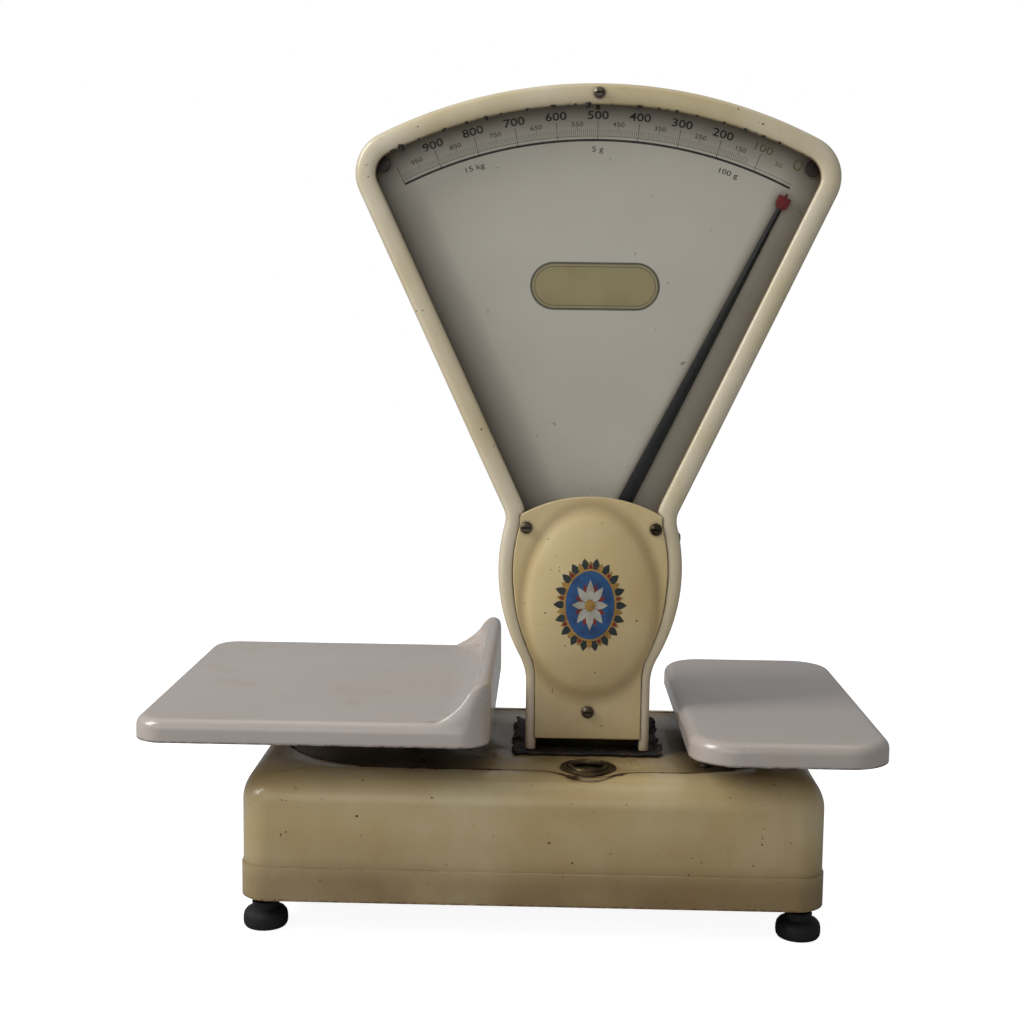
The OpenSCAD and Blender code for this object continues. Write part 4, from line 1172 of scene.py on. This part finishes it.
goods_corner_r = 24 * mm
goods_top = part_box("goods_platter")[1].z - upstand_h
platter("goods_platter_pressed", "goods_platter", goods_corner_r,
        sorted(set(lip_insets + upstand_insets)), goods_top, True)
weights_corner_r = 34 * mm
weights_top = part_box("weights_platter")[1].z
platter("weights_platter_pressed", "weights_platter", weights_corner_r, lip_insets + [20, 33],
        weights_top, False)


# The spiders that carry the platters are black iron castings, and so are the base frame, beam, link and
# legs. The pins and shaft are bright steel, the bearings brass and the balance weights lead.
def cast_iron(name, colour, rusty):
    material, tree, shader, where = new_finish(name)
    tone = mixed(tree, ramp(tree, noise(tree, where, 30, 6), 0.4, 0.6), colour, srgb(46, 42, 38))
    tone = mixed(tree, ramp(tree, noise(tree, where, 55, 7), 0.6, 0.7, 0, rusty), tone, srgb(96, 58, 32))
    grime = calc(tree, "MULTIPLY", recess_dirt(tree, 6 * mm, 0.4, 0.9), 0.6)
    tone = mixed(tree, grime, tone, srgb(22, 17, 13))
    feed_named(tree, shader, Base_Color=tone, Roughness=0.62)
    bumped(tree, shader, noise(tree, where, 480, 4), 0.25 * mm)
    return material


black_iron = cast_iron("black_iron", srgb(20, 19, 18), 0.4)
pad_rubber = plain_finish("pad_rubber", srgb(8, 8, 8), srgb(20, 18, 16), 0.7, 90)
old_brass = metal("old_brass", srgb(150, 122, 66), srgb(96, 74, 40))
lead_grey = plain_finish("lead_grey", srgb(98, 98, 100), srgb(128, 128, 128), 0.6, 45)
give(black_iron, "base_frame", "beam", "check_link", "goods_leg", "weights_leg", "goods_spider",
     "weights_spider", "bearing_brackets", "pendulum_arm")
give(bright_steel, "beam_pin", "rod_pin", "link_pin", "goods_knife_pin", "goods_link_pin",
     "weights_knife_pin", "weights_link_pin", "pointer_shaft", "pull_rod", "damper_piston", "damper_cylinder")
give(old_brass, "shaft_bearings", "damper_cap")
give(lead_grey, "balance_weight", "pendulum_weight")
give(pad_rubber, "goods_pads", "weights_pads")


# The feet are hard black rubber pads with a necked top, each moulded in one piece.
# They turn on steel studs under the base.
foot_profile = [(0, 0), (14.2, 0), (15.6, 0.5), (16.6, 2), (17, 4.6), (16.9, 8), (16.3, 10.6), (14.8, 12.6),
                (12, 13.9), (10.6, 14.8), (10.2, 16.4), (10.4, 18.6), (9.6, 19.8), (0, 19.8)]
for corner in ("front_left", "front_right", "rear_left", "rear_right"):
    pad_low, pad_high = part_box("foot_pad_" + corner)
    pad_middle = ((pad_low.x + pad_high.x) / 2, (pad_low.y + pad_high.y) / 2, pad_low.z)
    pad = turned("foot_" + corner + "_pad", pad_middle, [(r * mm, z * mm) for r, z in foot_profile], 48)
    finish_piece(pad, pad_rubber, "foot_" + corner, "rubber", "foot_pad_" + corner)
    give(screw_steel, "foot_stud_" + corner)


# The front cover bears an oval device as a transfer: a blue oval with a white flower, in a wreath of
# leaves. It lies on the dome, and it has dulled and cracked with the paint.
dome_front = head_front - cover_proud


def on_dome(x, z):
    """The place of the front cover's surface at a distance beside and above the middle of its dome."""
    share = sqrt((x / (dome_w / 2)) ** 2 + (z / (dome_h / 2)) ** 2)
    return dome_front - dome_rise * max(1 - share ** 2, 0) ** dome_roundness


def badge(name, outline, centre, rings=1, lift=0.2):
    """A thin raised shape on the dome, from an outline round a centre."""
    shares = [1 - ring / (rings + 1) for ring in range(rings + 1)]
    flat = [[centre.lerp(p, share) for p in outline] for share in shares] + [[centre] * len(outline)]
    rows = [[(column_x + p.x, on_dome(p.x, p.y) - height * mm, dome_z + p.y) for p in row]
            for height, layer in ((-0.2, reversed(flat)), (lift, flat)) for row in layer]
    laid_rows(name, rows)
    face_outward()
    return close_mesh(50)


def ellipse(w, h, steps=48):
    return [Vector((w * cos(2 * pi * s / steps), h * sin(2 * pi * s / steps))) * mm for s in range(steps)]


def petal(base, tip, half, steps=5):
    """A leaf-shaped outline from its base to its tip."""
    along = tip - base
    across = Vector((-along.y, along.x)).normalized() * half
    side = [(s / steps, sin(pi * (s / steps) ** 0.8)) for s in range(steps + 1)]
    return ([base + along * share + across * width for share, width in side]
            + [base + along * share - across * width for share, width in reversed(side[1:-1])])


def petals(name, count, start, inner, outer, half, material, lift):
    """Leaves that stand round the middle of the device, between two ovals."""
    made = []
    for i in range(count):
        angle = 2 * pi * (i + start) / count
        direction = Vector((cos(angle), sin(angle)))
        base = Vector((direction.x * inner[0], direction.y * inner[1])) * mm
        tip = Vector((direction.x * outer[0], direction.y * outer[1])) * mm
        made.append(badge(name, petal(base, tip, half * mm), (base + tip) / 2, 0, lift))
    return finish_piece(joined(name, made), material, "frame", "dial_print")


device_blue = plain_finish("device_blue", srgb(40, 88, 140), srgb(30, 66, 110), 0.4, 110)
device_dark = plain_finish("device_dark", srgb(36, 44, 44), srgb(52, 58, 52), 0.45, 110)
device_gold = plain_finish("device_gold", srgb(176, 136, 62), srgb(146, 108, 46), 0.4, 110)
device_red = plain_finish("device_red", srgb(138, 44, 30), srgb(112, 34, 26), 0.45, 110)
device_white = plain_finish("device_white", srgb(190, 188, 176), srgb(166, 160, 140), 0.45, 110)
petals("device_dark_leaves", 18, 0, (19, 27), (28.5, 37), 3.0, device_dark, 0.14)
petals("device_gold_leaves", 18, 0.5, (19, 27), (26, 34.5), 2.2, device_gold, 0.18)
petals("device_red_leaves", 9, 0.25, (20, 28), (24.5, 32.5), 1.6, device_red, 0.22)
middle = Vector((0, 0))
gold_ring = badge("device_gold_ring", ellipse(20.6, 28.6), middle, 7, 0.24)
finish_piece(gold_ring, device_gold, "frame", "dial_print")
blue_field = badge("device_blue_field", ellipse(19, 27), middle, 7, 0.3)
finish_piece(blue_field, device_blue, "frame", "dial_print")
petals("device_red_rays", 8, 0.5, (4, 6), (12.5, 18), 2.2, device_red, 0.36)
petals("device_flower", 8, 0, (2, 2.6), (14, 20), 3.1, device_white, 0.4)
heart = badge("device_heart", ellipse(4.2, 4.8, 24), middle, 1, 0.5)
finish_piece(heart, device_gold, "frame", "dial_print")
